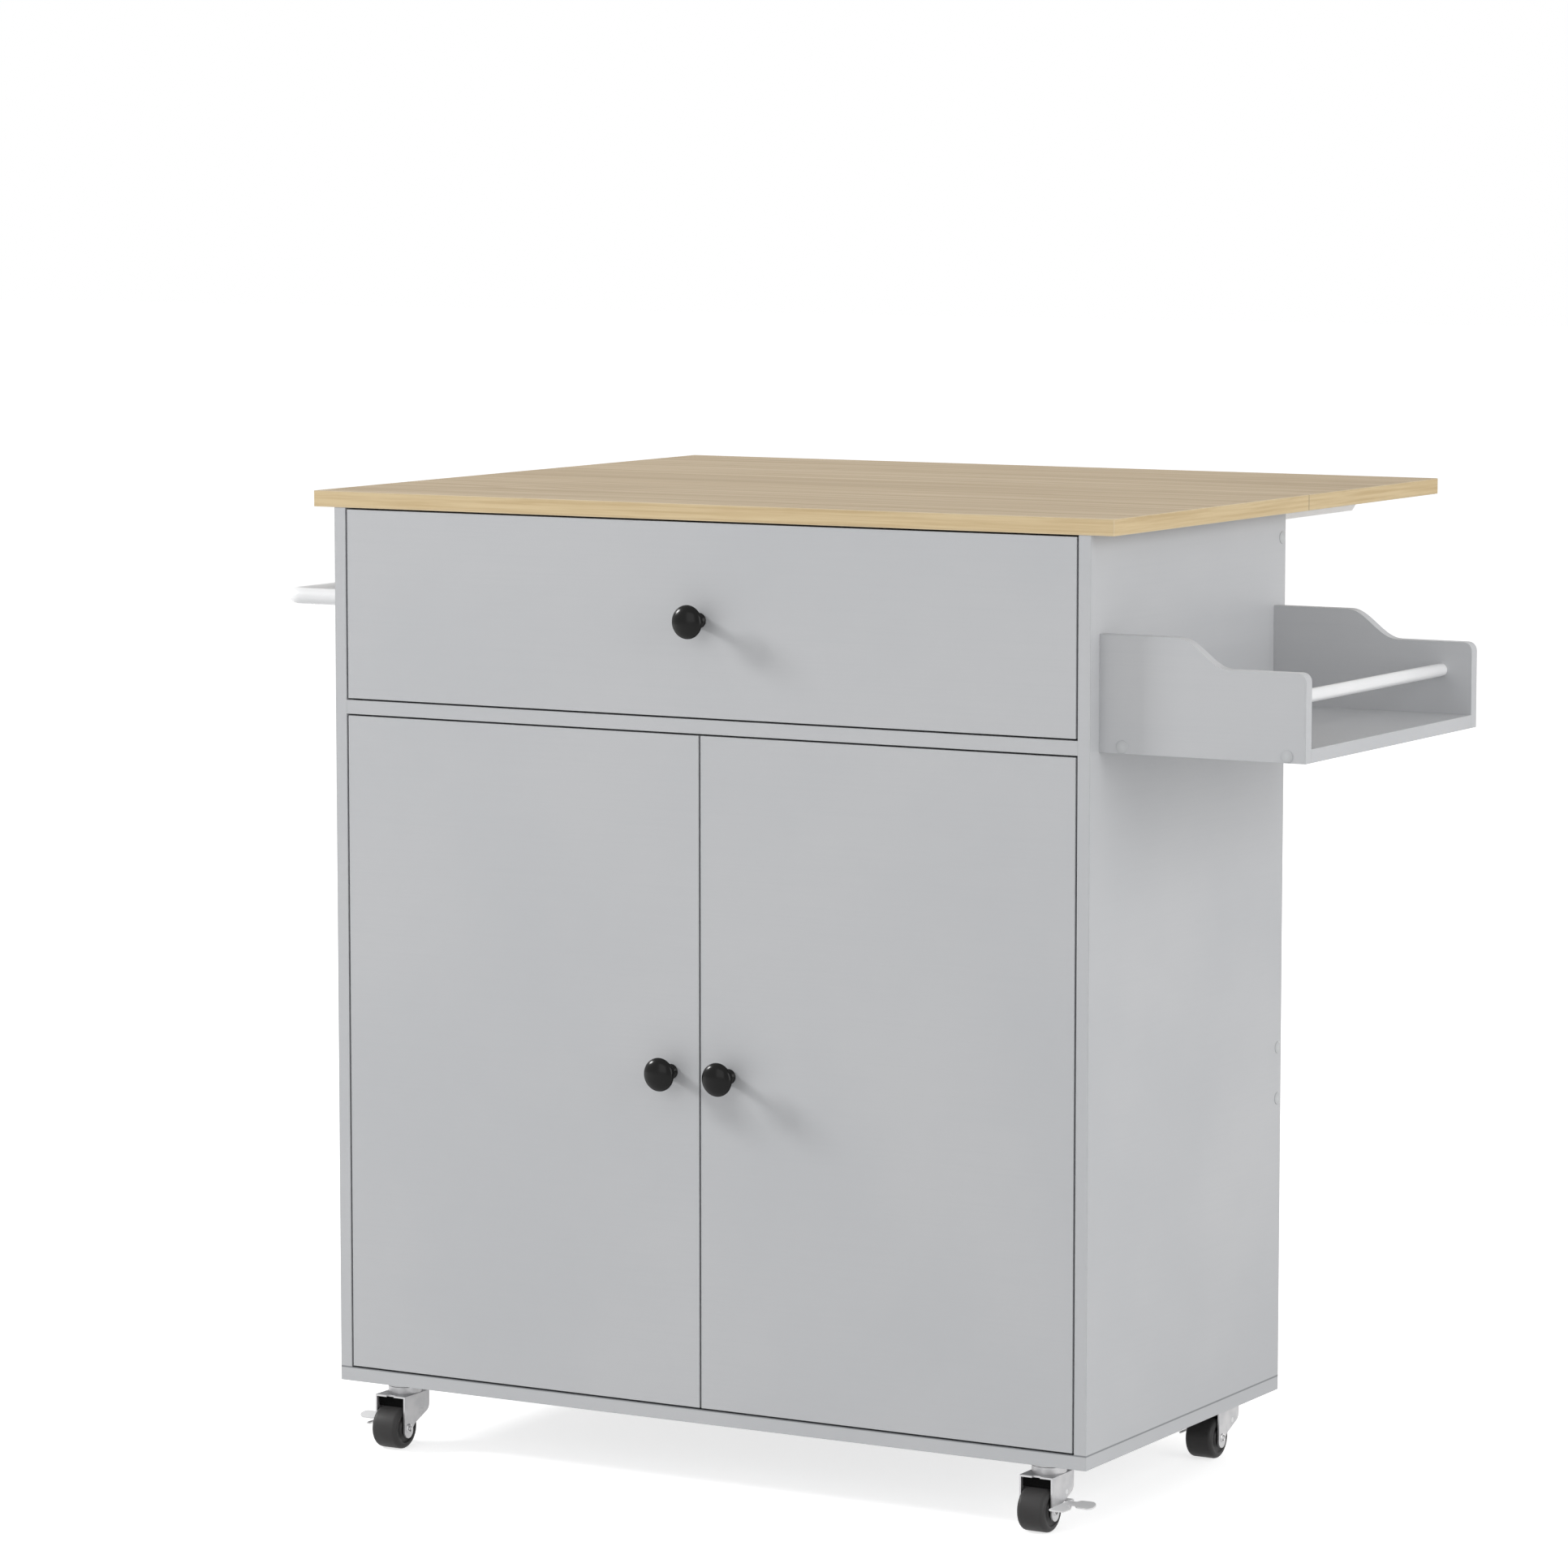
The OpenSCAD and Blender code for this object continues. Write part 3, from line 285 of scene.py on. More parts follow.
class EdgeLightAndJoints(EffectGroup):
    """How near a point on a board is to the board's edges.

    For each axis the distance to the nearer of two opposite faces is taken. The
    smallest of the three is the face itself, and the middle one is the distance to
    the nearest edge: sum minus smallest minus largest. Edge Highlight is the mask of a
    painted highlight, 1 at the edge and broken by a noise, Line is 1 along the thin
    joint of the edging strip, and Seam is 1 on the edge itself, where dust and shade
    gather in the joint between two boards.
    """

    name = "edge_light_and_joints"
    takes = (
        ("Vector", "NodeSocketVector"),
        ("Low", "NodeSocketVector"),
        ("High", "NodeSocketVector"),
        ("Width", "NodeSocketFloat"),
    )
    gives = ("Edge Highlight", "Line", "Seam")
    line_in: float = 1.1 * MM
    line_half: float = 0.4 * MM
    seam_core: float = 0.35 * MM
    seam_reach: float = 0.6 * MM

    def body(self, shader: Shader, source: Node) -> dict[str, Socket]:
        """Works out the middle distance and turns it into the three masks.

        Args:
            shader: The group's own tree.
            source: The group's input node.

        Returns:
            The group's outputs by name.
        """
        vector = source.outputs["Vector"]
        from_low = shader.vector("SUBTRACT", vector, source.outputs["Low"])
        from_high = shader.vector("SUBTRACT", source.outputs["High"], vector)
        x, y, z = shader.parts(shader.vector("MINIMUM", from_low, from_high))
        total = shader.math("ADD", shader.math("ADD", x, y), z)
        least = shader.math("MINIMUM", shader.math("MINIMUM", x, y), z)
        most = shader.math("MAXIMUM", shader.math("MAXIMUM", x, y), z)
        middle = shader.math("SUBTRACT", shader.math("SUBTRACT", total, least), most)
        # Painted highlight mask: 1 at the edge, fading out over a width that a noise breaks up.
        ragged = shader.math("MULTIPLY", source.outputs["Width"], shader.noise(vector, 90.0, 3.0))
        edge_highlight = shader.math("SUBTRACT", 1.0, shader.math("DIVIDE", middle, ragged), clamp=True)
        joint = shader.math("ABSOLUTE", shader.math("SUBTRACT", middle, self.line_in))
        line = shader.math("SUBTRACT", 1.0, shader.math("DIVIDE", joint, self.line_half), clamp=True)
        seam = shader.span(middle, self.seam_core, self.seam_reach, 1.0, 0.0)
        return {"Edge Highlight": edge_highlight, "Line": line, "Seam": seam}


class OakFigure(EffectGroup):
    """The figure of a planked oak board whose grain runs along the vector's X.

    Each plank is a step in Y, and its number shifts the pattern. Rings are the
    contour lines of a noise that is stretched along the grain: sine of noise times a
    count. Streaks, Threads and Pores are stretched noises from fine to finest and long,
    and Plank is a tone per plank.
    """

    name = "oak_figure"
    takes = (
        ("Vector", "NodeSocketVector"),
        ("Plank Width", "NodeSocketFloat"),
        ("Seed", "NodeSocketFloat"),
    )
    gives = ("Rings", "Streaks", "Threads", "Pores", "Plank", "Joint")
    ring_count: float = 95.0
    ring_wobble: float = 2.4
    shift: tuple[float, float] = (7.0, 3.0)

    def body(self, shader: Shader, source: Node) -> dict[str, Socket]:
        """Shifts the vector by plank and reads the stretched noises from it.

        Args:
            shader: The group's own tree.
            source: The group's input node.

        Returns:
            The group's outputs by name.
        """
        x, y, z = shader.parts(source.outputs["Vector"])
        seed = source.outputs["Seed"]
        across = shader.math("DIVIDE", y, source.outputs["Plank Width"])
        number = {"W": shader.math("ADD", shader.math("FLOOR", across), seed)}
        tone = shader.add("ShaderNodeTexWhiteNoise", number, noise_dimensions="1D").outputs["Value"]
        shifted = {
            0: shader.math("ADD", x, shader.math("MULTIPLY", tone, self.shift[0])),
            1: shader.math("ADD", y, shader.math("MULTIPLY", tone, self.shift[1])),
            2: shader.math("ADD", z, seed),
        }
        moved = shader.add("ShaderNodeCombineXYZ", shifted).outputs[0]

        def grain(scale: Point, detail: float, rough: float) -> Socket:
            """A noise on the shifted vector, stretched along each axis."""
            return shader.noise(shader.stretched(moved, scale), 1.0, detail, rough)

        contour = shader.math("MULTIPLY", grain((1.6, 12.0, 12.0), 1.5, 0.45), self.ring_count)
        wobble = shader.math("MULTIPLY", grain((9.0, 120.0, 60.0), 3.0, 0.6), self.ring_wobble)
        wave = shader.math("SINE", shader.math("ADD", contour, wobble))
        rings = shader.math("ADD", shader.math("MULTIPLY", wave, 0.5), 0.5)
        streaks = grain((3.0, 210.0, 210.0), 5.0, 0.6)
        threads = grain((0.9, 60.0, 60.0), 3.0, 0.6)
        pores = shader.span(grain((55.0, 1500.0, 900.0), 2.0, 0.55), 0.60, 0.72)
        edge = shader.math("ABSOLUTE", shader.math("SUBTRACT", shader.math("FRACT", across), 0.5))
        joint = shader.span(edge, 0.488, 0.4985)
        return {
            "Rings": rings,
            "Streaks": streaks,
            "Threads": threads,
            "Pores": pores,
            "Plank": tone,
            "Joint": joint,
        }


class BrushedLines(EffectGroup):
    """Fine drawn lines and stray scratches on metal, about 0.5 in the middle."""

    name = "brushed_lines"
    takes = (("Vector", "NodeSocketVector"), ("Fineness", "NodeSocketFloat"))
    gives = ("Lines", "Stains")

    def body(self, shader: Shader, source: Node) -> dict[str, Socket]:
        """A noise squeezed across Z for the lines, and a broad one for the stains.

        Args:
            shader: The group's own tree.
            source: The group's input node.

        Returns:
            The group's outputs by name.
        """
        vector = source.outputs["Vector"]
        squeezed = shader.stretched(vector, (1.0, 1.0, 14.0))
        lines = shader.noise(squeezed, source.outputs["Fineness"], 4.0)
        return {"Lines": lines, "Stains": shader.noise(vector, 70.0, 3.0)}


def emptied(data: Material | bpy.types.World) -> Shader:
    """Empties the node tree of a material or a world.

    Args:
        data: The material or the world.

    Returns:
        The shader that fills the empty tree.
    """
    data.use_nodes = True
    data.node_tree.nodes.clear()
    return Shader(data.node_tree)


def new_material(name: str) -> tuple[Material, Shader, Node, Socket]:
    """Makes an empty material with its principled shader.

    Args:
        name: The material's name.

    Returns:
        The material, its shader tree, the principled node and the object coordinates.
    """
    material = bpy.data.materials.new(name)
    shader = emptied(material)
    surface = shader.add("ShaderNodeBsdfPrincipled")
    shader.add("ShaderNodeOutputMaterial", {"Surface": surface.outputs[0]})
    place = shader.add("ShaderNodeTexCoord").outputs["Object"]
    return material, shader, surface, place


# ---------- finishes ----------


@dataclass(frozen=True)
class BoardBox:
    """The corners of a board, for finishes that know where its edges are."""

    low: Point
    high: Point

    @staticmethod
    def of(node: str) -> "BoardBox":
        """The box of a CAD node."""
        low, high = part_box(node)
        return BoardBox(tuple(low), tuple(high))

    def edges(self, shader: Shader, place: Socket, width: float) -> Node:
        """Places this board's edge masks: a painted edge highlight that reaches a width in from its
        edges, the edging line and the seam.
        """
        inputs = {"Vector": place, "Low": self.low, "High": self.high, "Width": width}
        return EdgeLightAndJoints().place(shader, inputs)


@dataclass(frozen=True)
class GreyFoil:
    """Satin cool grey foil on board, with a faint print and a painted highlight along its edges."""

    slot: str = "grey_board"
    base: Colour = srgb(190, 191, 193)
    shade: Colour = srgb(183, 185, 188)
    # Colour of the painted highlight along the edges.
    edge_highlight_colour: Colour = srgb(203, 205, 206)
    line: Colour = srgb(140, 143, 146)
    gap: Colour = srgb(112, 115, 118)
    print_mix: float = 0.22
    edge_highlight_mix: float = 0.7
    line_mix: float = 0.22
    seam_mix: float = 0.4
    joint_mix: float = 0.75
    roughness: float = 0.42
    gloss: float = 0.4
    peel: float = 0.035
    joint_core: float = 0.6 * MM
    joint_reach: float = 1.0 * MM

    def material(self, box: BoardBox, name: str) -> Material:
        """Builds the finish for one board.

        Args:
            box: The board's corners.
            name: The board's name, which the material's name ends with.

        Returns:
            The material.
        """
        material, shader, surface, place = new_material(f"grey_foil_{name}")
        tone = CloudyTone().place(shader, {"Vector": place, "Broad": 5.0, "Fine": 900.0})
        edge = box.edges(shader, place, 3.2 * MM)
        print_lines = shader.noise(shader.stretched(place, (2.0, 2.0, 160.0)), 3.0, 4.0)
        clouds = shader.span(tone.outputs["Clouds"], 0.3, 0.7, 0.0, 0.5)
        body = shader.mix(clouds, self.base, self.shade)
        body = shader.mix(shader.span(print_lines, 0.4, 0.75, 0.0, self.print_mix), body, self.shade)
        # Painted highlight: a lighter, ragged band along each edge.
        body = shader.tint(body, edge.outputs["Edge Highlight"], self.edge_highlight_mix, self.edge_highlight_colour)
        body = shader.tint(body, edge.outputs["Line"], self.line_mix, self.line)
        body = shader.tint(body, edge.outputs["Seam"], self.seam_mix, self.line)
        body = shader.mix(self._base_joint(shader, place), body, self.gap)
        tree = material.node_tree
        tree.links.new(body, surface.inputs["Base Color"])
        smooth, dull = self.roughness - 0.04, self.roughness + 0.05
        rough = shader.span(tone.outputs["Clouds"], 0.25, 0.75, smooth, dull)
        tree.links.new(rough, surface.inputs["Roughness"])
        height = shader.math("ADD", tone.outputs["Speckle"], shader.math("MULTIPLY", print_lines, 0.5))
        tree.links.new(shader.bump(self.peel, 0.6 * MM, height), surface.inputs["Normal"])
        surface.inputs["Specular IOR Level"].default_value = self.gloss
        return material

    def _base_joint(self, shader: Shader, place: Socket) -> Socket:
        """The mask of the dark joint where the side panels stand on the bottom board."""
        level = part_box("bottom_board")[1].z
        reach = (self.joint_core, self.joint_reach, self.joint_mix)
        return shader.joint(shader.parts(place)[2], level, *reach)


@dataclass(frozen=True)
class OakFoil:
    """Light oak foil in planks, with a warmer edging strip round the board."""

    slot: str = "oak_board"
    light: Colour = srgb(203, 186, 160)
    dark: Colour = srgb(184, 166, 139)
    vein: Colour = srgb(160, 141, 115)
    edging: Colour = srgb(216, 195, 156)
    edging_dark: Colour = srgb(198, 174, 134)
    gap: Colour = srgb(120, 100, 78)
    # Colour of the painted highlight along the edges.
    edge_highlight_colour: Colour = srgb(232, 218, 190)
    ring_mix: float = 0.38
    pore_mix: float = 0.35
    plank_mix: float = 0.35
    thread_mix: float = 0.42
    groove_mix: float = 0.45
    edge_highlight_mix: float = 0.35
    line_mix: float = 0.25
    joint_mix: float = 0.5
    gloss: float = 0.1
    relief: float = 0.05
    plank: float = 98 * MM
    seed: float = 3.0
    hair: float = 0.3 * MM
    joint_core: float = 0.5 * MM
    joint_reach: float = 1.1 * MM

    def material(self, box: BoardBox, name: str, lie: Lie = Lie.FLAT) -> Material:
        """Builds the finish for one board.

        Args:
            box: The board's corners.
            name: The board's name, which the material's name ends with.
            lie: Whether the board lies flat or stands on edge.

        Returns:
            The material.
        """
        material, shader, surface, place = new_material(f"oak_foil_{name}")
        tree = material.node_tree
        face = place
        if lie is Lie.UPRIGHT:
            x, y, z = shader.parts(place)
            face = shader.add("ShaderNodeCombineXYZ", {0: x, 1: z, 2: y}).outputs[0]
        inputs = {"Vector": face, "Plank Width": self.plank, "Seed": self.seed}
        figure = OakFigure().place(shader, inputs).outputs
        edge = box.edges(shader, place, 3.0 * MM)
        patch = shader.span(shader.noise(face, 3.2, 2.0), 0.46, 0.62)
        rings = shader.math("MULTIPLY", shader.math("POWER", figure["Rings"], 3.0), patch)
        body = shader.mix(shader.span(figure["Streaks"], 0.35, 0.7), self.light, self.dark)
        body = shader.tint(body, rings, self.ring_mix, self.vein)
        body = shader.tint(body, figure["Pores"], self.pore_mix, self.vein)
        plank = shader.span(figure["Plank"], 0.0, 1.0, 0.0, self.plank_mix)
        body = shader.mix(plank, body, self.dark)
        threads = shader.span(figure["Threads"], 0.42, 0.66, 0.0, self.thread_mix)
        body = shader.mix(threads, body, self.vein)
        body = shader.tint(body, figure["Joint"], self.groove_mix, self.vein)
        mask, strip = self._edging(shader, place, box, lie)
        body = shader.mix(mask, body, strip)
        # Painted highlight: a lighter, ragged band along each edge.
        body = shader.tint(body, edge.outputs["Edge Highlight"], self.edge_highlight_mix, self.edge_highlight_colour)
        body = shader.tint(body, edge.outputs["Line"], self.line_mix, self.vein)
        body = shader.mix(self._leaf_joint(shader, place), body, self.gap)
        tree.links.new(body, surface.inputs["Base Color"])
        rough = shader.span(figure["Streaks"], 0.3, 0.75, 0.62, 0.74)
        tree.links.new(rough, surface.inputs["Roughness"])
        ridges = shader.math("MULTIPLY", figure["Streaks"], 0.5)
        height = shader.math("SUBTRACT", ridges, figure["Pores"])
        tree.links.new(shader.bump(self.relief, 0.4 * MM, height), surface.inputs["Normal"])
        surface.inputs["Specular IOR Level"].default_value = self.gloss
        return material

    def _leaf_joint(self, shader: Shader, place: Socket) -> Socket:
        """The mask of the dark joint between worktop and leaf, round its middle plane."""
        middle = (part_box("worktop")[1].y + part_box("drop_leaf")[0].y) / 2
        reach = (self.joint_core, self.joint_reach, self.joint_mix)
        return shader.joint(shader.parts(place)[1], middle, *reach)

    def _edging(
        self, shader: Shader, place: Socket, box: BoardBox, lie: Lie
    ) -> tuple[Socket, Socket]:
        """The mask and the colour of the strip round a board's narrow faces.

        The mask is 1 where the point is more than a hair from both broad faces.

        Args:
            shader: The material's shader tree.
            place: The object coordinates.
            box: The board's corners.
            lie: Whether the board lies flat or stands on edge.

        Returns:
            The mask and the colour.
        """
        axis = 2 if lie is Lie.FLAT else 1
        depth = shader.parts(place)[axis]
        above = shader.math("GREATER_THAN", depth, box.low[axis] + self.hair)
        below = shader.math("LESS_THAN", depth, box.high[axis] - self.hair)
        squeezed = shader.stretched(place, (6.0, 6.0, 260.0))
        lines = shader.span(shader.noise(squeezed, 1.0, 5.0, 0.6), 0.35, 0.7)
        return shader.math("MULTIPLY", above, below), shader.mix(lines, self.edging, self.edging_dark)


@dataclass(frozen=True)
class PlainFinish:
    """A finish that needs no board box: paint, plated steel, plastic or bare wood.

    A slot of the record can have two finishes here. The kind tells them apart.
    """

    slot: str
    base: Colour
    second: Colour
    metallic: float = 0.0
    roughness: float = 0.35
    spread: float = 0.08
    coat: float = 0.0
    bump: float = 0.03
    cloud: float = 26.0
    fineness: float = 300.0
    brushed: bool = False
    specular: float = 0.5
    # The rim amount and colour paint a shade line round a turned piece's marked rim.
    rim: float = 0.0
    rim_shade_colour: Colour = srgb(120, 122, 124)
    kind: str = ""

    def material(self) -> Material:
        """Builds the finish on the first call.

        Returns:
            The material, the same one on every call.
        """
        name = f"finish_{self.slot}{self.kind}"
        found = bpy.data.materials.get(name)
        if found:
            return found
        material, shader, surface, place = new_material(name)
        tree = material.node_tree
        if self.brushed:
            effect = BrushedLines().place(shader, {"Vector": place, "Fineness": self.fineness})
            broad, fine = effect.outputs["Stains"], effect.outputs["Lines"]
        else:
            inputs = {"Vector": place, "Broad": self.cloud, "Fine": self.fineness}
            effect = CloudyTone().place(shader, inputs)
            broad, fine = effect.outputs["Clouds"], effect.outputs["Speckle"]
        body = shader.mix(shader.span(broad, 0.3, 0.7), self.base, self.second)
        # Painted shade: a darker line round the marked rim.
        if self.rim:
            rim = shader.add("ShaderNodeAttribute", attribute_name=RIM_SHADE).outputs["Fac"]
            body = shader.tint(body, rim, self.rim, self.rim_shade_colour)
        tree.links.new(body, surface.inputs["Base Color"])
        large, small = shader.math("MULTIPLY", broad, 0.6), shader.math("MULTIPLY", fine, 0.4)
        both = shader.math("ADD", large, small)
        smooth, dull = self.roughness - self.spread, self.roughness + self.spread
        tree.links.new(shader.span(both, 0.3, 0.7, smooth, dull), surface.inputs["Roughness"])
        tree.links.new(shader.bump(self.bump, 0.4 * MM, fine), surface.inputs["Normal"])
        surface.inputs["Metallic"].default_value = self.metallic
        surface.inputs["Specular IOR Level"].default_value = self.specular
        surface.inputs["Coat Weight"].default_value = self.coat
        surface.inputs["Coat Roughness"].default_value = 0.12
        return material

    def onto(self, piece: Piece, body: str, *nodes: str) -> None:
        """Dresses a new piece in this finish and sets it on its body, for the nodes it stands for."""
        finished(piece, body, self.slot, self.material(), *nodes)

    def ease(self, body: str, radius: float, *nodes: str) -> None:
        """Eases each CAD node, in this finish, on its body."""
        for node in nodes:
            eased(node, body, self.slot, self.material(), radius)


PAINT = {"spread": 0.02, "coat": 0.1, "bump": 0.004, "fineness": 900.0}
PLATED = {"spread": 0.05, "bump": 0.012}
WHITE_ROD = PlainFinish(
    "white_rod", srgb(234, 234, 235), srgb(231, 232, 233), roughness=0.33, **PAINT
)
WHITE_BRACKET = PlainFinish(
    "white_bracket", srgb(246, 246, 246), srgb(242, 243, 243), roughness=0.36, **PAINT
)
ZINC = PlainFinish(
    "zinc_steel",
    (0.60, 0.61, 0.62, 1),
    (0.53, 0.54, 0.56, 1),
    metallic=1.0,
    roughness=0.34,
    brushed=True,
    **PLATED,
)
CASTER_STEEL = PlainFinish(
    "caster_steel",
    (0.58, 0.575, 0.58, 1),
    (0.51, 0.51, 0.52, 1),
    metallic=0.8,
    roughness=0.4,
    brushed=True,
    **PLATED,
)
# A lighter, less metallic copy of the caster steel: painted light on the brake lever, which sits in
# the cabinet's shadow.
LIT_BRAKE_STEEL = PlainFinish(
    "caster_steel",
    (0.80, 0.80, 0.80, 1),
    (0.72, 0.72, 0.73, 1),
    metallic=0.25,
    roughness=0.42,
    fineness=900.0,
    kind="_brake",
    **PLATED,
)
BLACK_KNOB = PlainFinish(
    "black_knob",
    (0.0015, 0.0015, 0.0014, 1),
    (0.003, 0.003, 0.0028, 1),
    roughness=0.2,
    spread=0.02,
    bump=0.006,
    fineness=900.0,
    specular=0.2,
)
BLACK_WHEEL = PlainFinish(
    "black_wheel",
    (0.030, 0.029, 0.029, 1),
    (0.040, 0.039, 0.039, 1),
    roughness=0.5,
    bump=0.05,
    fineness=700.0,
    specular=0.25,
)
# Near-black, nearly matt block in the fork over each wheel: painted shade for the dark gap there.
FORK_SHADE_FILL = PlainFinish(
    "black_wheel",
    (0.003, 0.003, 0.003, 1),
    (0.005, 0.005, 0.005, 1),
    roughness=0.8,
    spread=0.05,
    fineness=900.0,
    specular=0.04,
    kind="_shade_fill",
)
# rim paints a shade line round each cap.
GREY_CAP = PlainFinish(
    "grey_cap", srgb(194, 196, 197), srgb(190, 192, 194), roughness=0.4, bump=0.01, rim=0.22
)
BEECH = PlainFinish(
    "beech_dowel", srgb(205, 176, 132), srgb(188, 156, 112), roughness=0.65, bump=0.2
)


# ---------- meshes ----------


def coordinates(mesh: Mesh) -> np.ndarray:
    """Reads a mesh's vertices.

    Args:
        mesh: The mesh.

    Returns:
        Array of vertices by 3.
    """
    place = np.empty(len(mesh.vertices) * 3)
    mesh.vertices.foreach_get("co", place)
    return place.reshape(-1, 3)


def grid_object(name: str, points: np.ndarray, wrap: bool = True) -> Piece:
    """Makes an object from a grid of points.

    Each face joins a point to the next one along its row and its column. Rows that
    shrink to one point are merged, so poles are closed, and normals are turned out.

    Args:
        name: The object's name.
        points: Array of rows by columns by 3.
        wrap: Whether the last column joins the first.

    Returns:
        The object, with smooth shading and sharp edges past the sharp angle.
    """
    rows, columns = points.shape[:2]
    index = np.arange(rows * columns).reshape(rows, columns)
    both = np.concatenate([index, index[:, :1]], 1) if wrap else index
    quads = np.stack([both[:-1, :-1], both[:-1, 1:], both[1:, 1:], both[1:, :-1]], -1).reshape(-1, 4)
    mesh = bpy.data.meshes.new(name)
    mesh.from_pydata(points.reshape(-1, 3).tolist(), [], quads.tolist())
    work = bmesh.new()
    work.from_mesh(mesh)
    bmesh.ops.remove_doubles(work, verts=work.verts, dist=1e-6)
    bmesh.ops.recalc_face_normals(work, faces=work.faces)
    work.to_mesh(mesh)
    work.free()
    return shaded(name, mesh)


def shaded(name: str, mesh: Mesh) -> Piece:
    """Links a mesh to the scene as a smooth object with sharp edges past the sharp angle.

    Args:
        name: The object's name.
        mesh: Its mesh.

    Returns:
        The object.
    """
    mesh.polygons.foreach_set("use_smooth", np.ones(len(mesh.polygons), bool))
    mesh.set_sharp_from_angle(angle=SHARP)
    made = bpy.data.objects.new(name, mesh)
    bpy.context.scene.collection.objects.link(made)
    return made


def merged_copy(node: str, name: str, flatten: bool = False) -> Mesh:
    """Copies a CAD node's mesh with its loose triangles merged.

    Args:
        node: The CAD node.
        name: The copy's name.
        flatten: Whether flat faces are made whole too.

    Returns:
        The copy.
    """
    work = bmesh.new()
    work.from_mesh(FRAME_NODES[node].data)
    bmesh.ops.remove_doubles(work, verts=work.verts, dist=2e-6)
    if flatten:
        flat = math.radians(0.4)
        bmesh.ops.dissolve_limit(work, angle_limit=flat, verts=work.verts, edges=work.edges)
    mesh = bpy.data.meshes.new(name)
    work.to_mesh(mesh)
    work.free()
    return mesh


def bevelled(piece: Piece, width: float) -> None:
    """Adds a Bevel modifier that rounds each edge past the eased angle.

    Args:
        piece: The piece.
        width: The radius of the rounding.
    """
    bevel = piece.modifiers.new("ease", "BEVEL")
    bevel.width = width
    bevel.segments = 2
    bevel.limit_method = "ANGLE"
    bevel.angle_limit = EASED_EDGE


def joined(name: str, parts: list[Piece]) -> Piece:
    """Joins several objects' meshes into one object.

    Args:
        name: The new object's name.
        parts: Objects at the origin, which are removed.

    Returns:
        The joined object.
    """
    work = bmesh.new()
    for part in parts:
        work.from_mesh(part.data)
    mesh = bpy.data.meshes.new(name)
    work.to_mesh(mesh)
    work.free()
    for part in parts:
        old = part.data
        bpy.data.objects.remove(part)
        bpy.data.meshes.remove(old)
    return shaded(name, mesh)


def on_axis(radius: np.ndarray, along: np.ndarray, angle: np.ndarray, axis: Axis) -> np.ndarray:
    """Places points round an axis: radius times cosine and sine across it, height along it.

    Args:
        radius: Each point's distance from the axis.
        along: Its height.
        angle: Its angle.
        axis: The axis.

    Returns:
        Array of points, with X, Y and Z last.
    """
    across = (radius * np.cos(angle), radius * np.sin(angle))
    order = {
        Axis.X: (along, *across),
        Axis.Y: (across[1], along, across[0]),
        Axis.Z: (*across, along),
    }[axis]
    return np.stack(np.broadcast_arrays(*order), -1)


def turned(name: str, profile: np.ndarray, centre: Point, axis: Axis, turns: int = 64) -> Piece:
    """Turns a profile round an axis.

    The surface is the profile's radius carried round a full circle at the profile's
    height, so each point is (radius cos a, radius sin a, height) about the axis.

    Args:
        name: The object's name.
        profile: Array of radius and height pairs from one pole to the other.
        centre: The point that height 0 lies at.
        axis: The axis that the piece stands along.
        turns: How many columns go round.

    Returns:
        The turned object.
    """
    angle = np.linspace(0, 2 * np.pi, turns, endpoint=False)[None, :]
    points = on_axis(profile[:, :1], profile[:, 1:], angle, axis) + np.array(centre)
    return grid_object(name, points)


def smooth_curve(points: np.ndarray, steps: int = 8) -> np.ndarray:
    """A Catmull-Rom curve through points.

    Between two points the curve is the cubic whose slope at each is half the way
    from the point before to the point after.

    Args:
        points: Array of the points to pass through.
        steps: How many samples lie between two points.

    Returns:
        Array of samples, with both ends.
    """
    padded = np.concatenate([2 * points[:1] - points[1:2], points, 2 * points[-1:] - points[-2:-1]])
    t = (np.arange(steps) / steps)[None, :, None]
    a, b, c, d = (padded[i : len(padded) - 3 + i, None, :] for i in range(4))
    square, cube = 2 * a - 5 * b + 4 * c - d, 3 * b - a - 3 * c + d
    curve = 0.5 * (2 * b + (c - a) * t + square * t**2 + cube * t**3)
    return np.concatenate([curve.reshape(-1, points.shape[1]), points[-1:]])


def tube(name: str, path: np.ndarray, radius: float, up: Point, turns: int = 40) -> Piece:
    """Carries a circle along a flat path.

    At each path point the circle lies across the tangent: the point is the path plus
    radius times (cosine of a times the sideways vector plus sine of a times up).

    Args:
        name: The object's name.
        path: Array of path points in one plane.
        radius: The tube's radius.
        up: The plane's normal.
        turns: How many columns go round.

    Returns:
        The tube, closed at both ends.
    """
    tangent = np.gradient(path, axis=0)
    tangent /= np.linalg.norm(tangent, axis=1, keepdims=True)
    side = np.cross(tangent, np.array(up))
    angle = np.linspace(0, 2 * np.pi, turns, endpoint=False)[None, :, None]
    ring = side[:, None, :] * np.cos(angle) + np.array(up)[None, None, :] * np.sin(angle)
    body = path[:, None, :] + radius * ring
    ends = np.repeat(path[[0, -1], None, :], turns, 1)
    return grid_object(name, np.concatenate([ends[:1], body, ends[1:]]))


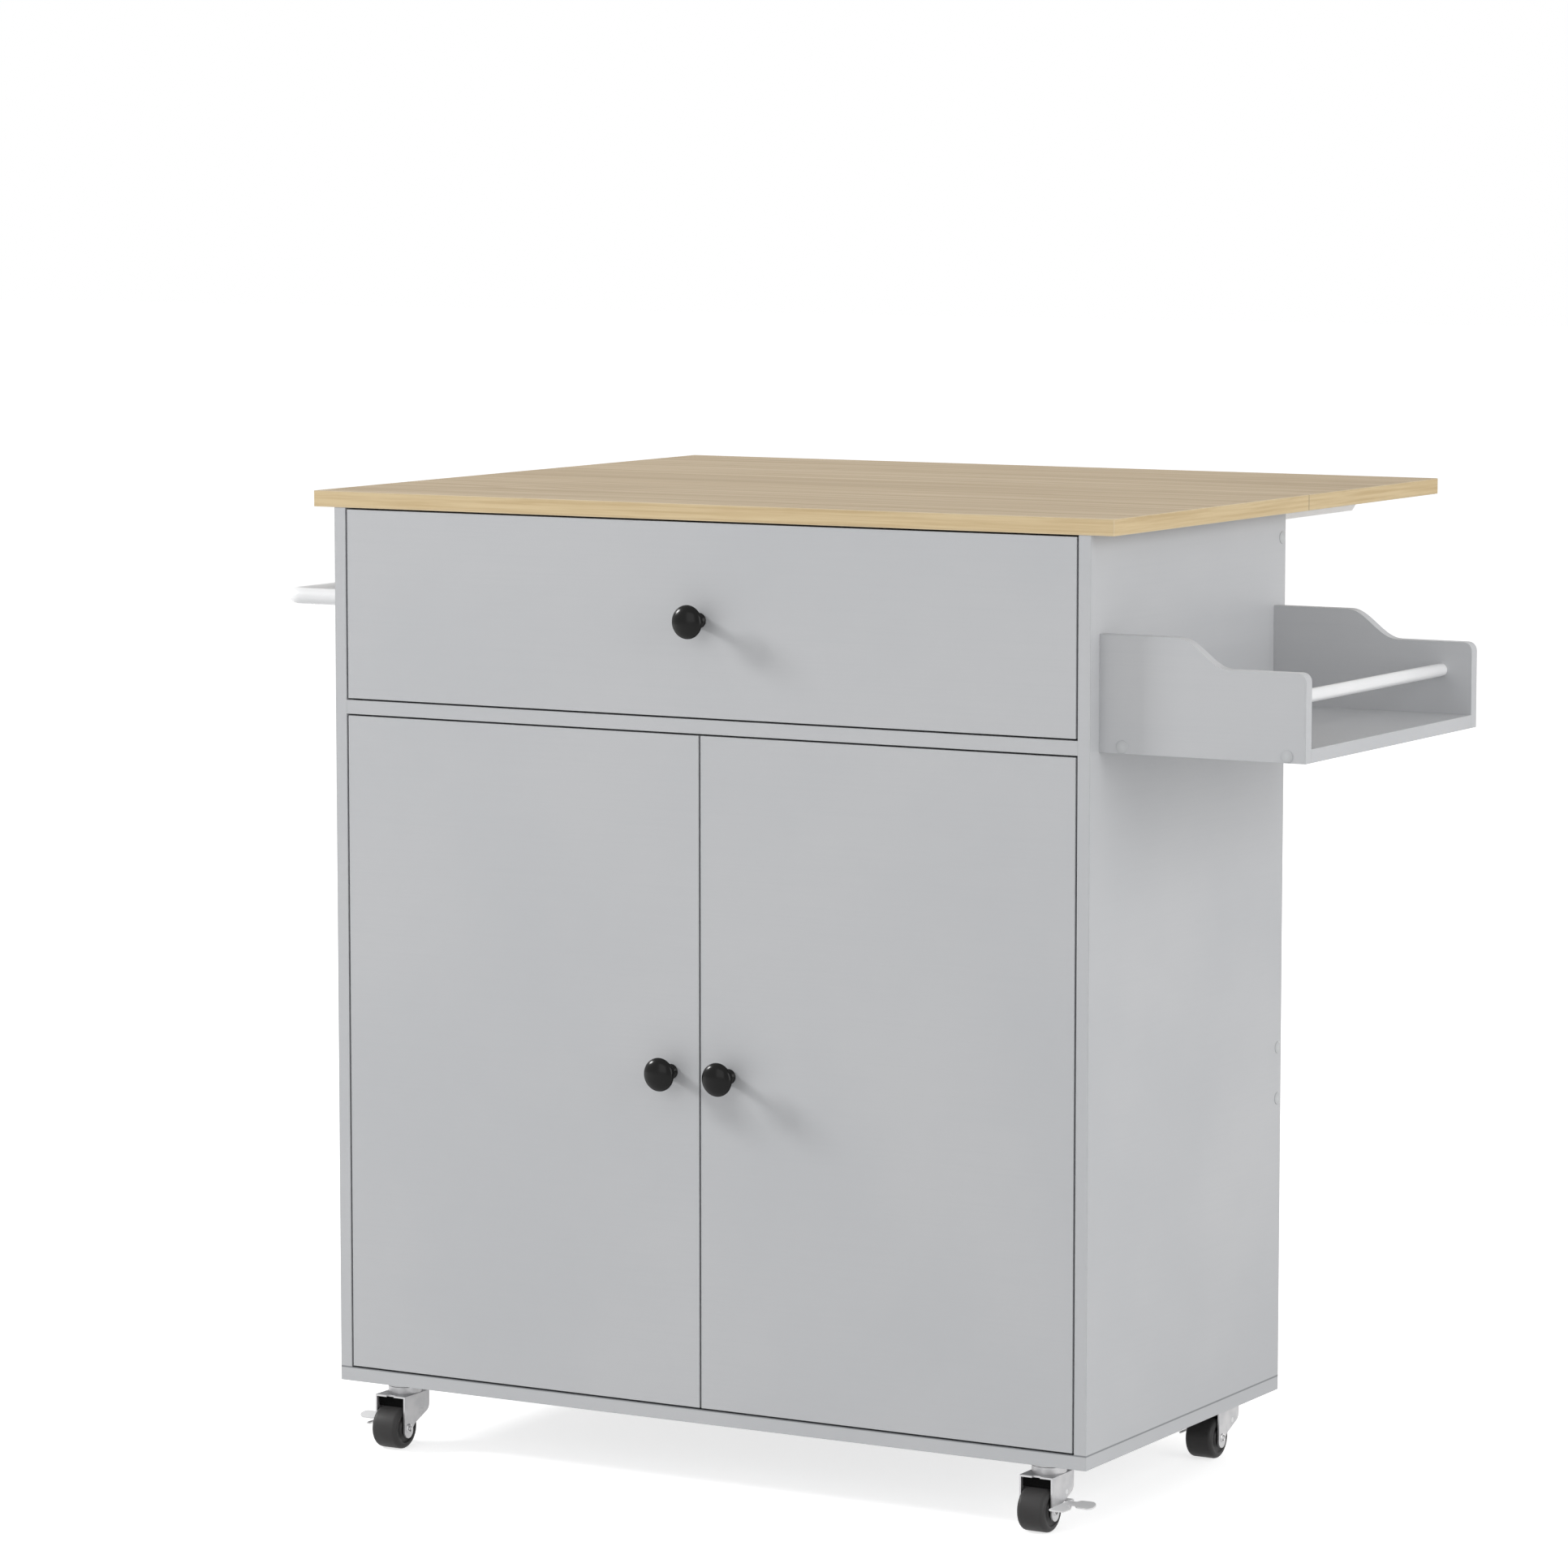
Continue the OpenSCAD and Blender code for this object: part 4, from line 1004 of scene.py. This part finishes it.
def cross_head(name: str, radius: float, height: float, centre: Point, axis: Axis) -> Piece:
    """A domed screw head with a cross recess.

    On a grid of radius and angle the height is a dome, height times (1 - 0.6 r^2) to
    the rim, less a recess that is deep where the point lies near either bar of a
    cross, smoothed over a tenth of the radius.

    Args:
        name: The object's name.
        radius: The head's radius.
        height: The head's height at its middle.
        centre: The middle of the head's underside.
        axis: The axis of the screw, which the head looks along.

    Returns:
        The head.
    """
    r = np.linspace(0, 1, 15)[:, None]
    angle = np.linspace(0, 2 * np.pi, 72, endpoint=False)[None, :]
    x, y = r * np.cos(angle), r * np.sin(angle)
    bar = np.minimum(np.abs(x), np.abs(y))
    deep = np.clip((0.2 - bar) / 0.1, 0, 1) * np.clip((0.62 - r) / 0.12, 0, 1)
    top = height * (1 - 0.6 * r**2) - 0.75 * height * deep
    rim = np.zeros_like(angle)
    face = on_axis(r * radius, top, angle, axis)
    skirt = on_axis(np.full_like(angle, radius), rim, angle, axis)
    pole = on_axis(np.zeros_like(angle), rim, angle, axis)
    return grid_object(name, np.concatenate([face, skirt, pole]) + np.array(centre))


def disc_profile(radius: float, thick: float, edge: float, sign: float = 1.0) -> np.ndarray:
    """The profile of a disc whose outer rim is rounded by a quarter circle.

    Args:
        radius: The disc's radius.
        thick: Its thickness.
        edge: The radius of the quarter circle.
        sign: 1 if the rounded face looks along the axis, -1 if against it.

    Returns:
        Array of radius and height pairs from pole to pole.
    """
    a = np.linspace(np.pi / 2, 0, 6)
    arc = np.stack([radius - edge + edge * np.cos(a), thick - edge + edge * np.sin(a)], 1)
    return np.concatenate([[[0.0, thick]], arc, [[radius, 0.0], [0.0, 0.0]]]) * [1.0, sign]


def solids(node: str) -> list[tuple[np.ndarray, np.ndarray]]:
    """Finds the corners of each separate solid of a CAD node.

    Every vertex starts with a label of its own. The two ends of an edge take the
    smaller label, over and over, until none changes: each label is then one solid.

    Args:
        node: The CAD node.

    Returns:
        The low and the high corner of each solid.
    """
    mesh = merged_copy(node, f"{node}_merged")
    place = coordinates(mesh)
    ends = np.empty(len(mesh.edges) * 2, np.int32)
    mesh.edges.foreach_get("vertices", ends)
    ends = ends.reshape(-1, 2)
    bpy.data.meshes.remove(mesh)
    label = np.arange(len(place))
    before = np.zeros_like(label)
    while not np.array_equal(label, before):
        before = label.copy()
        least = label[ends].min(1)
        np.minimum.at(label, ends[:, 0], least)
        np.minimum.at(label, ends[:, 1], least)
    return [(place[label == k].min(0), place[label == k].max(0)) for k in np.unique(label)]


def mark_rim_shade(piece: Piece, centre: np.ndarray, axis: int, reach: float) -> None:
    """Marks a turned piece's points past a radius, for a finish that paints a shade line round its
    rim.

    Args:
        piece: The turned piece.
        centre: A point on its axis.
        axis: The number of its axis.
        reach: The radius.
    """
    across = np.delete(coordinates(piece.data) - centre, axis, 1)
    mark = (np.linalg.norm(across, axis=1) > reach).astype(np.float32)
    piece.data.attributes.new(RIM_SHADE, "FLOAT", "POINT").data.foreach_set("value", mark)


def outward(low: np.ndarray, high: np.ndarray, node: str) -> float:
    """Finds which way a flat solid looks along its thin axis, away from its node's middle.

    Args:
        low: The solid's low corner.
        high: Its high corner.
        node: The CAD node that it belongs to.

    Returns:
        1 along the axis, -1 against it.
    """
    axis = int(np.argmin(high - low))
    start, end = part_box(node)
    return 1.0 if (low + high)[axis] > start[axis] + end[axis] else -1.0


# ---------- pieces ----------


def dress(node: str, material: Material) -> None:
    """Gives a CAD node's object a material.

    Args:
        node: The CAD node.
        material: The material.
    """
    piece = FRAME_NODES[node]
    if not piece.material_slots:
        piece.data.materials.append(material)
    for slot in piece.material_slots:
        slot.material = material


def eased(node: str, body: str, slot: str, material: Material, radius: float) -> None:
    """Makes a copy of a CAD node with its sharp edges rounded, which stands for the node.

    The copy's loose triangles are merged and its flat faces made whole. A Bevel
    modifier then rounds its edges, and a Weighted Normal modifier keeps the broad
    faces flat.

    Args:
        node: The CAD node.
        body: The CAD body that the piece rides on.
        slot: The record's material slot.
        material: The piece's material.
        radius: The radius of the rounding.
    """
    name = f"{node}_eased"
    piece = shaded(name, merged_copy(node, name, flatten=True))
    bevelled(piece, radius)
    even = piece.modifiers.new("even", "WEIGHTED_NORMAL")
    even.weight = 100
    finished(piece, body, slot, material, node)


def finished(piece: Piece, body: str, slot: str, material: Material, *nodes: str) -> None:
    """Dresses a new piece, sets it on its body and hides the nodes it stands for.

    Args:
        piece: The new piece.
        body: The CAD body that it rides on.
        slot: The record's material slot; not used.
        material: Its material.
        *nodes: The CAD nodes that it replaces.
    """
    piece.data.materials.clear()
    piece.data.materials.append(material)
    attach(piece, body)
    if nodes:
        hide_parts(*nodes)
    LOG.info("%s: %d faces on %s", piece.name, len(piece.data.polygons), body)


@dataclass
class Boards:
    """A group of foiled boards on one body, with eased edges."""

    body: str
    grey: tuple[str, ...] = ()
    oak_flat: tuple[str, ...] = ()
    oak_upright: tuple[str, ...] = ()
    radius: float = 0.6 * MM
    grey_foil: GreyFoil = field(default_factory=GreyFoil)
    oak_foil: OakFoil = field(default_factory=OakFoil)

    def build(self) -> None:
        """Eases and dresses every board of the group."""
        for node in self.grey:
            finish = self.grey_foil.material(BoardBox.of(node), node)
            eased(node, self.body, self.grey_foil.slot, finish, self.radius)
        for names, lie in ((self.oak_flat, Lie.FLAT), (self.oak_upright, Lie.UPRIGHT)):
            for node in names:
                finish = self.oak_foil.material(BoardBox.of(node), node, lie)
                eased(node, self.body, self.oak_foil.slot, finish, self.radius)


@dataclass
class Carcase:
    """The cabinet's boards, worktop, back, dowels, screws and caps."""

    cap_rim_shade: float = 0.45 * MM
    cap_edge: float = 0.4 * MM
    boards: Boards = field(
        default_factory=lambda: Boards(
            "cabinet",
            grey=(
                "left_side_panel",
                "right_side_panel",
                "bottom_board",
                "fixed_shelf",
                "loose_shelf",
                "middle_back_rail",
                "upper_back_panel",
                "lower_back_panel",
            ),
            oak_flat=("worktop",),
            oak_upright=("upper_back_rail",),
        )
    )

    def build(self) -> None:
        """Builds the boards and dresses the fasteners."""
        self.boards.build()
        dress("worktop_dowels", BEECH.material())
        dress("panel_screws", ZINC.material())
        ZINC.ease("cabinet", 0.3 * MM, "shelf_pins")
        self._caps()

    def _caps(self) -> None:
        """Turns a cap over each screw, with its rim marked for the painted shade line round it."""
        caps = []
        for low, high in solids("screw_caps"):
            axis = int(np.argmin(high - low))
            sign = outward(low, high, "screw_caps")
            thick = (high - low)[axis]
            radius = (high - low).max() / 2
            foot = (low + high) / 2
            foot[axis] = (low if sign > 0 else high)[axis]
            line = disc_profile(radius, thick, self.cap_edge, sign)
            caps.append(turned(f"cap_{len(caps)}", line, tuple(foot), Axis(axis), 48))
            mark_rim_shade(caps[-1], foot, axis, radius - self.cap_rim_shade)
        GREY_CAP.onto(joined("screw_caps_turned", caps), "cabinet", "screw_caps")


@dataclass
class SideRack:
    """The open rack: two shaped ends, a bottom and a rod."""

    boards: Boards = field(
        default_factory=lambda: Boards(
            "cabinet", grey=("rack_front_end", "rack_rear_end", "rack_bottom"), radius=1.0 * MM
        )
    )
    rod_edge: float = 0.8 * MM

    def build(self) -> None:
        """Builds the boards and turns the rod."""
        self.boards.build()
        low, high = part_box("rack_rod")
        radius = (high.z - low.z) / 2
        length = high.y - low.y
        edge = self.rod_edge
        a = np.linspace(0, np.pi / 2, 5)
        start = np.stack([radius - edge + edge * np.sin(a), edge - edge * np.cos(a)], 1)
        end = np.stack([start[::-1, 0], length - start[::-1, 1]], 1)
        profile = np.concatenate([[[0, 0]], start, end, [[0, length]]])
        centre = ((low.x + high.x) / 2, low.y, (low.z + high.z) / 2)
        rod = turned("rack_rod_turned", profile, centre, Axis.Y, 48)
        WHITE_ROD.onto(rod, "cabinet", "rack_rod")


@dataclass
class TowelRail:
    """The bent rail on the left side panel."""

    bend: float = 13 * MM
    steps: int = 14

    def build(self) -> None:
        """Carries the bar's round section along its bent line.

        The line is a leg along -X, a quarter circle, a run along Y, a quarter circle
        and a leg back along +X.
        """
        low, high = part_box("towel_rail")
        radius = (high.z - low.z) / 2
        z = (high.z + low.z) / 2
        front, rear = low.y + radius, high.y - radius
        far = low.x + radius
        a = np.linspace(0, np.pi / 2, self.steps)
        arc = np.stack([-np.sin(a), 1 - np.cos(a)], 1) * self.bend
        first = np.array([far + self.bend, front]) + arc
        last = np.array([far + self.bend, rear]) + arc[::-1] * [1, -1]
        leg = np.linspace(high.x, far + self.bend, 12)[:-1]
        start = np.stack([leg, np.full_like(leg, front)], 1)
        end = np.stack([leg[::-1], np.full_like(leg, rear)], 1)
        flat = np.concatenate([start, first, last, end])
        path = np.concatenate([flat, np.full((len(flat), 1), z)], 1)
        rail = tube("towel_rail_bent", path, radius, (0, 0, 1), 48)
        WHITE_ROD.onto(rail, "cabinet", "towel_rail")


@dataclass
class Knob:
    """A mushroom knob with its screw from behind."""

    node: str
    body: str
    foot: float = 7.0 * MM
    waist: float = 4.8 * MM
    dome: float = 6.2 * MM
    screw: float = 2.0 * MM
    screw_head: float = 4.0 * MM
    screw_dome: float = 2.0 * MM
    front: float = 15.0 * MM

    def _profile(self, radius: float, ring: float) -> np.ndarray:
        """The knob's outline: foot, waist, flare and dome.

        The rows give radius and height. The dome's points lie on a quarter ellipse.

        Args:
            radius: The head's radius.
            ring: The height of the head's widest place.

        Returns:
            Array of radius and height pairs, with the height towards -Y.
        """
        neck = np.array(
            [
                [self.foot, 0.0],
                [self.foot - 0.2 * MM, 1.2 * MM],
                [self.waist + 0.3 * MM, 3.6 * MM],
                [self.waist, 8.0 * MM],
                [self.waist, ring - 7.8 * MM],
                [self.waist + 1.4 * MM, ring - 4.8 * MM],
                [self.waist + 5.4 * MM, ring - 2.8 * MM],
                [radius - 1.4 * MM, ring - 1.6 * MM],
                [radius, ring - 0.3 * MM],
            ]
        )
        a = np.linspace(0.05, np.pi / 2, 16)
        dome = np.stack([radius * np.cos(a), ring + self.dome * np.sin(a)], 1)
        dome[-1, 0] = 0.0
        return np.concatenate([[[0.0, 0.0]], smooth_curve(neck, 6), dome]) * [1, -1]

    def build(self) -> None:
        """Turns the knob and sets its screw head on the back of the front."""
        low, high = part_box(self.node)
        x, z = (low.x + high.x) / 2, (low.z + high.z) / 2
        face = high.y - self.screw_dome - self.front
        profile = self._profile((high.x - low.x) / 2, face - low.y - self.dome)
        knob = turned(f"{self.node}_head", profile, (x, face, z), Axis.Y, 72)
        shank = np.array([[0, 0], [self.screw, 0], [self.screw, self.front], [0, self.front]])
        screw = turned(f"{self.node}_shank", shank, (x, face, z), Axis.Y, 24)
        back = (x, face + self.front, z)
        head = cross_head(f"{self.node}_cross", self.screw_head, self.screw_dome, back, Axis.Y)
        BLACK_KNOB.onto(knob, self.body, self.node)
        ZINC.onto(joined(f"{self.node}_screw", [screw, head]), self.body)


@dataclass
class Drawer:
    """The drawer, its slides and the runners in the cabinet."""

    def build(self) -> None:
        """Builds the box, the front, the knob and the running gear."""
        sides = ("drawer_left_side", "drawer_right_side")
        boards = ("drawer_front", *sides, "drawer_back", "drawer_bottom")
        Boards("drawer", grey=boards, radius=0.5 * MM).build()
        ZINC.ease("drawer", 0.25 * MM, "drawer_slides")
        ZINC.ease("cabinet", 0.25 * MM, "drawer_runners")
        Knob("drawer_knob", "drawer").build()


@dataclass
class Door:
    """One door with its knob, hinge cups and links."""

    side: str

    def build(self) -> None:
        """Builds the door on its side's bodies."""
        body = f"{self.side}_door"
        Boards(body, grey=(body,), radius=0.5 * MM).build()
        Knob(f"{self.side}_door_knob", body).build()
        ZINC.ease(body, 0.25 * MM, f"{self.side}_hinge_cups")
        ZINC.ease(f"{self.side}_links", 0.25 * MM, f"{self.side}_hinge_links")


@dataclass
class Fixings:
    """The metal parts that stay on the cabinet: hinge arms and caster stems."""

    def build(self) -> None:
        """Eases and dresses both."""
        ZINC.ease("cabinet", 0.25 * MM, "hinge_arms")
        CASTER_STEEL.ease("cabinet", 0.6 * MM, "caster_stems")


@dataclass
class DropLeaf:
    """The leaf and its two folding brackets."""

    head: float = 1.8 * MM
    shank: float = 1.9 * MM
    point: float = 2.0 * MM

    def build(self) -> None:
        """Builds the leaf and dresses the brackets."""
        Boards("leaf", oak_flat=("drop_leaf",), oak_foil=OakFoil(seed=11.0)).build()
        WHITE_BRACKET.ease("leaf", 0.3 * MM, "leaf_arms")
        WHITE_BRACKET.ease("struts", 0.3 * MM, "leaf_struts")
        WHITE_BRACKET.ease("cabinet", 0.3 * MM, "bracket_channels")
        ZINC.ease("cabinet", 0.25 * MM, "bracket_pins")
        self._screws()

    def _screws(self) -> None:
        """Sets a cross head and a shank for each screw through the wall channels."""
        parts = []
        for low, high in solids("bracket_screws"):
            x, z = (low[0] + high[0]) / 2, (low[2] + high[2]) / 2
            radius = (high[0] - low[0]) / 2
            face = high[1] - self.head
            name = f"bracket_screw_{len(parts)}"
            parts.append(cross_head(f"{name}_head", radius, self.head, (x, face, z), Axis.Y))
            tip = low[1] + self.point
            shank = np.array([[0.0, face], [self.shank, face], [self.shank, tip], [0.0, low[1]]])
            parts.append(turned(f"{name}_shank", shank, (x, 0.0, z), Axis.Y, 24))
        ZINC.onto(joined("bracket_screws_crossed", parts), "cabinet", "bracket_screws")


@dataclass
class Caster:
    """One swivelling caster with a brake."""

    corner: str
    tread: float = 4.5 * MM
    # Size of the near-black block of painted shade over the wheel.
    shade_fill_gap: float = 0.6 * MM
    shade_fill_side: float = 0.95 * MM
    shade_fill_front: float = 3.6 * MM
    shade_fill_rear: float = 9.0 * MM
    shade_fill_edge: float = 0.5 * MM
    plate_under: float = 28.6 * MM
    rivet: float = 3.0 * MM
    # In mm: radius, and depth from the outer face, of the dish in each rivet head.
    dish: Outline = (
        (0.0, 0.0),
        (1.3, 0.1),
        (1.7, 0.4),
        (1.8, 1.2),
        (2.7, 1.2),
        (2.8, 0.4),
        (3.2, 0.1),
    )
    # In mm: distance in from the head's rim, and depth from the outer face.
    brim: Outline = ((0.9, 0.3), (0.3, 0.8), (0.2, 1.2))
    # In mm: radius, and distance from the wheel's middle, of its bore, hub, groove and side.
    side: Outline = (
        (3.05, 13.75),
        (4.6, 13.75),
        (5.0, 13.3),
        (8.0, 13.2),
        (8.9, 12.3),
        (9.3, 12.1),
        (13.2, 12.1),
        (13.7, 12.4),
        (14.2, 13.5),
    )

    @property
    def swivel(self) -> str:
        """The body that the fork turns with."""
        return f"{self.corner}_swivel"

    def build(self) -> None:
        """Builds the fork, brake, axle, wheel, and the near-black block of painted shade over the
        wheel.
        """
        CASTER_STEEL.ease(self.swivel, 0.35 * MM, f"{self.corner}_fork")
        LIT_BRAKE_STEEL.ease(f"{self.corner}_brake", 0.3 * MM, f"{self.corner}_brake")
        self._axle()
        self._wheel()
        self._shade_fill()

    def _size(self, node: str) -> tuple[Point, float, float]:
        """The middle, radius and half width of a round part that lies along X."""
        low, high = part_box(node)
        return tuple((low + high) / 2), (high.z - low.z) / 2, (high.x - low.x) / 2

    def _shade_fill(self) -> None:
        """Makes the near-black block that fills the fork over the wheel, as painted shade in that gap.

        Its section has the wheel's circle, a little larger, below and the fork's top
        plate above. From front to rear each row is a ring of four corners: two on the
        circle at z = root of (r^2 - y^2), and two under the plate.
        """
        centre, radius, half = self._size(f"{self.corner}_wheel")
        half += self.shade_fill_side
        y = np.linspace(-self.shade_fill_front, self.shade_fill_rear, 14)
        under = np.sqrt((radius + self.shade_fill_gap) ** 2 - y**2)
        over = np.full_like(y, self.plate_under)
        ends = ((-half, under), (half, under), (half, over), (-half, over))
        rings = np.stack([np.stack([np.full_like(y, x), y, z], 1) for x, z in ends], 1)
        caps = np.repeat(rings.mean(1, keepdims=True), 4, 1)
        points = np.concatenate([caps[:1], rings, caps[-1:]]) + np.array(centre)
        shade_fill = grid_object(f"{self.corner}_shade_fill", points)
        bevelled(shade_fill, self.shade_fill_edge)
        FORK_SHADE_FILL.onto(shade_fill, self.swivel)

    def _axle(self) -> None:
        """Turns the rivet: a shank, and at each end a rounded head with a dished middle."""
        node = f"{self.corner}_axle"
        centre, radius, half = self._size(node)
        dish, brim = np.array(self.dish) * MM, np.array(self.brim) * MM
        end = np.concatenate([dish * [1, -1] + [0, half], [radius, half] - brim])
        end = np.concatenate([end, [[self.rivet, end[-1, 1]]]])
        profile = np.concatenate([end, end[::-1] * [1, -1]])
        CASTER_STEEL.onto(turned(f"{node}_turned", profile, centre, Axis.X, 48), self.swivel, node)

    def _wheel(self) -> None:
        """Turns the wheel: tread, round shoulders, side ring groove and hub."""
        node = f"{self.corner}_wheel"
        centre, radius, half = self._size(node)
        a = np.linspace(0, np.pi / 2, 9)
        round_off = self.tread * (1 - np.stack([np.sin(a), np.cos(a)], 1))
        shoulder = np.array([radius, half]) - round_off
        half_line = np.concatenate([np.array(self.side) * MM, shoulder])
        line = np.concatenate([half_line, half_line[::-1] * [1, -1]])
        profile = np.concatenate([line, line[:1]])
        BLACK_WHEEL.onto(turned(f"{node}_turned", profile, centre, Axis.X, 72), node, node)


# ---------- studio ----------


@dataclass(frozen=True)
class Lamp:
    """A square area lamp that looks at a point."""

    name: str
    place: Point
    aim: Point
    size: float
    watts: float

    def build(self) -> None:
        """Makes the lamp: it leans by the angle off straight down and turns to face its aim."""
        data = bpy.data.lights.new(self.name, "AREA")
        data.shape = "SQUARE"
        data.size = self.size
        data.energy = self.watts
        lamp = bpy.data.objects.new(self.name, data)
        lamp.location = self.place
        way = np.array(self.aim) - np.array(self.place)
        way = way / np.linalg.norm(way)
        lamp.rotation_euler = (math.acos(-way[2]), 0, math.atan2(-way[0], way[1]))
        bpy.context.scene.collection.objects.link(lamp)


@dataclass
class Studio:
    """Pale floor, white backdrop, soft lamps and the camera."""

    eye: Point = (2.6644, -4.9574, 1.2415)
    heading: float = 29.677
    down: float = 6.278
    lens: float = 136.848
    floor_colour: Colour = (0.6, 0.6, 0.6, 1.0)
    lift: float = 0.7
    ambient: float = 0.6
    reach: float = 30.0
    lamps: tuple[Lamp, ...] = (
        Lamp("key", (-4.6, -1.9, 2.9), (0.0, 0.0, 0.5), 1.0, 180.0),
        Lamp("front_soft", (-0.5, -5.5, 2.0), (0.0, 0.0, 0.5), 3.0, 30.0),
        Lamp("right_fill", (3.6, -0.8, 1.5), (0.3, 0.0, 0.4), 2.6, 57.0),
        Lamp("back_fill", (-0.06, 4.8, 0.6), (-0.06, 0.2, 0.5), 0.7, 54.0),
    )

    def camera(self) -> None:
        """Makes the camera at the photograph's viewing angle."""
        data = bpy.data.cameras.new("camera")
        data.lens = self.lens
        data.sensor_width = 36.0
        camera = bpy.data.objects.new("camera", data)
        camera.location = self.eye
        camera.rotation_euler = (math.radians(90 - self.down), 0, math.radians(self.heading))
        bpy.context.scene.collection.objects.link(camera)
        bpy.context.scene.camera = camera

    def floor(self) -> None:
        """Makes the floor, which shows the backdrop's white where no shadow falls."""
        material = bpy.data.materials.new("studio_floor")
        shader = emptied(material)
        seen = shader.seen_rays()
        matt = shader.add("ShaderNodeBsdfDiffuse", {"Color": self.floor_colour})
        strength = shader.math("MULTIPLY", seen, self.lift)
        lift = shader.add("ShaderNodeEmission", {"Strength": strength})
        both = shader.add("ShaderNodeAddShader", {0: matt.outputs[0], 1: lift.outputs[0]})
        shader.add("ShaderNodeOutputMaterial", {"Surface": both.outputs[0]})
        sides = (-self.reach, self.reach)
        points = np.array([[[x, y, 0.0] for x in sides] for y in sides])
        plane = grid_object("studio_floor", points, wrap=False)
        plane.data.materials.append(material)

    def world(self) -> None:
        """Makes an even white world, brighter to the camera than as a light."""
        world = bpy.data.worlds.new("studio")
        shader = emptied(world)
        between = {"Value": shader.seen_rays(), "To Min": self.ambient, "To Max": 1.0}
        strength = shader.add("ShaderNodeMapRange", between).outputs[0]
        light = shader.add("ShaderNodeBackground", {"Color": (1, 1, 1, 1), "Strength": strength})
        shader.add("ShaderNodeOutputWorld", {"Surface": light.outputs[0]})
        bpy.context.scene.world = world

    def build(self) -> None:
        """Builds the studio and sets the plain view transform."""
        self.camera()
        self.world()
        self.floor()
        for lamp in self.lamps:
            lamp.build()
        bpy.context.scene.view_settings.view_transform = "Standard"


def main() -> None:
    """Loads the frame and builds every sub-assembly."""
    logging.basicConfig(level=logging.INFO, format="%(name)s %(message)s")
    for old in list(bpy.data.objects):
        bpy.data.objects.remove(old)
    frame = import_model()
    FRAME_NODES.update(frame["nodes"])
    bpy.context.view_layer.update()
    steps: list[Callable[[], None]] = [
        Studio().build,
        Carcase().build,
        SideRack().build,
        TowelRail().build,
        Drawer().build,
        Door("left").build,
        Door("right").build,
        Fixings().build,
        DropLeaf().build,
        *[Caster(corner).build for corner in ("front_left", "front_right", "rear_left", "rear_right")],
    ]
    for step in steps:
        step()


if __name__ == "__main__":
    main()
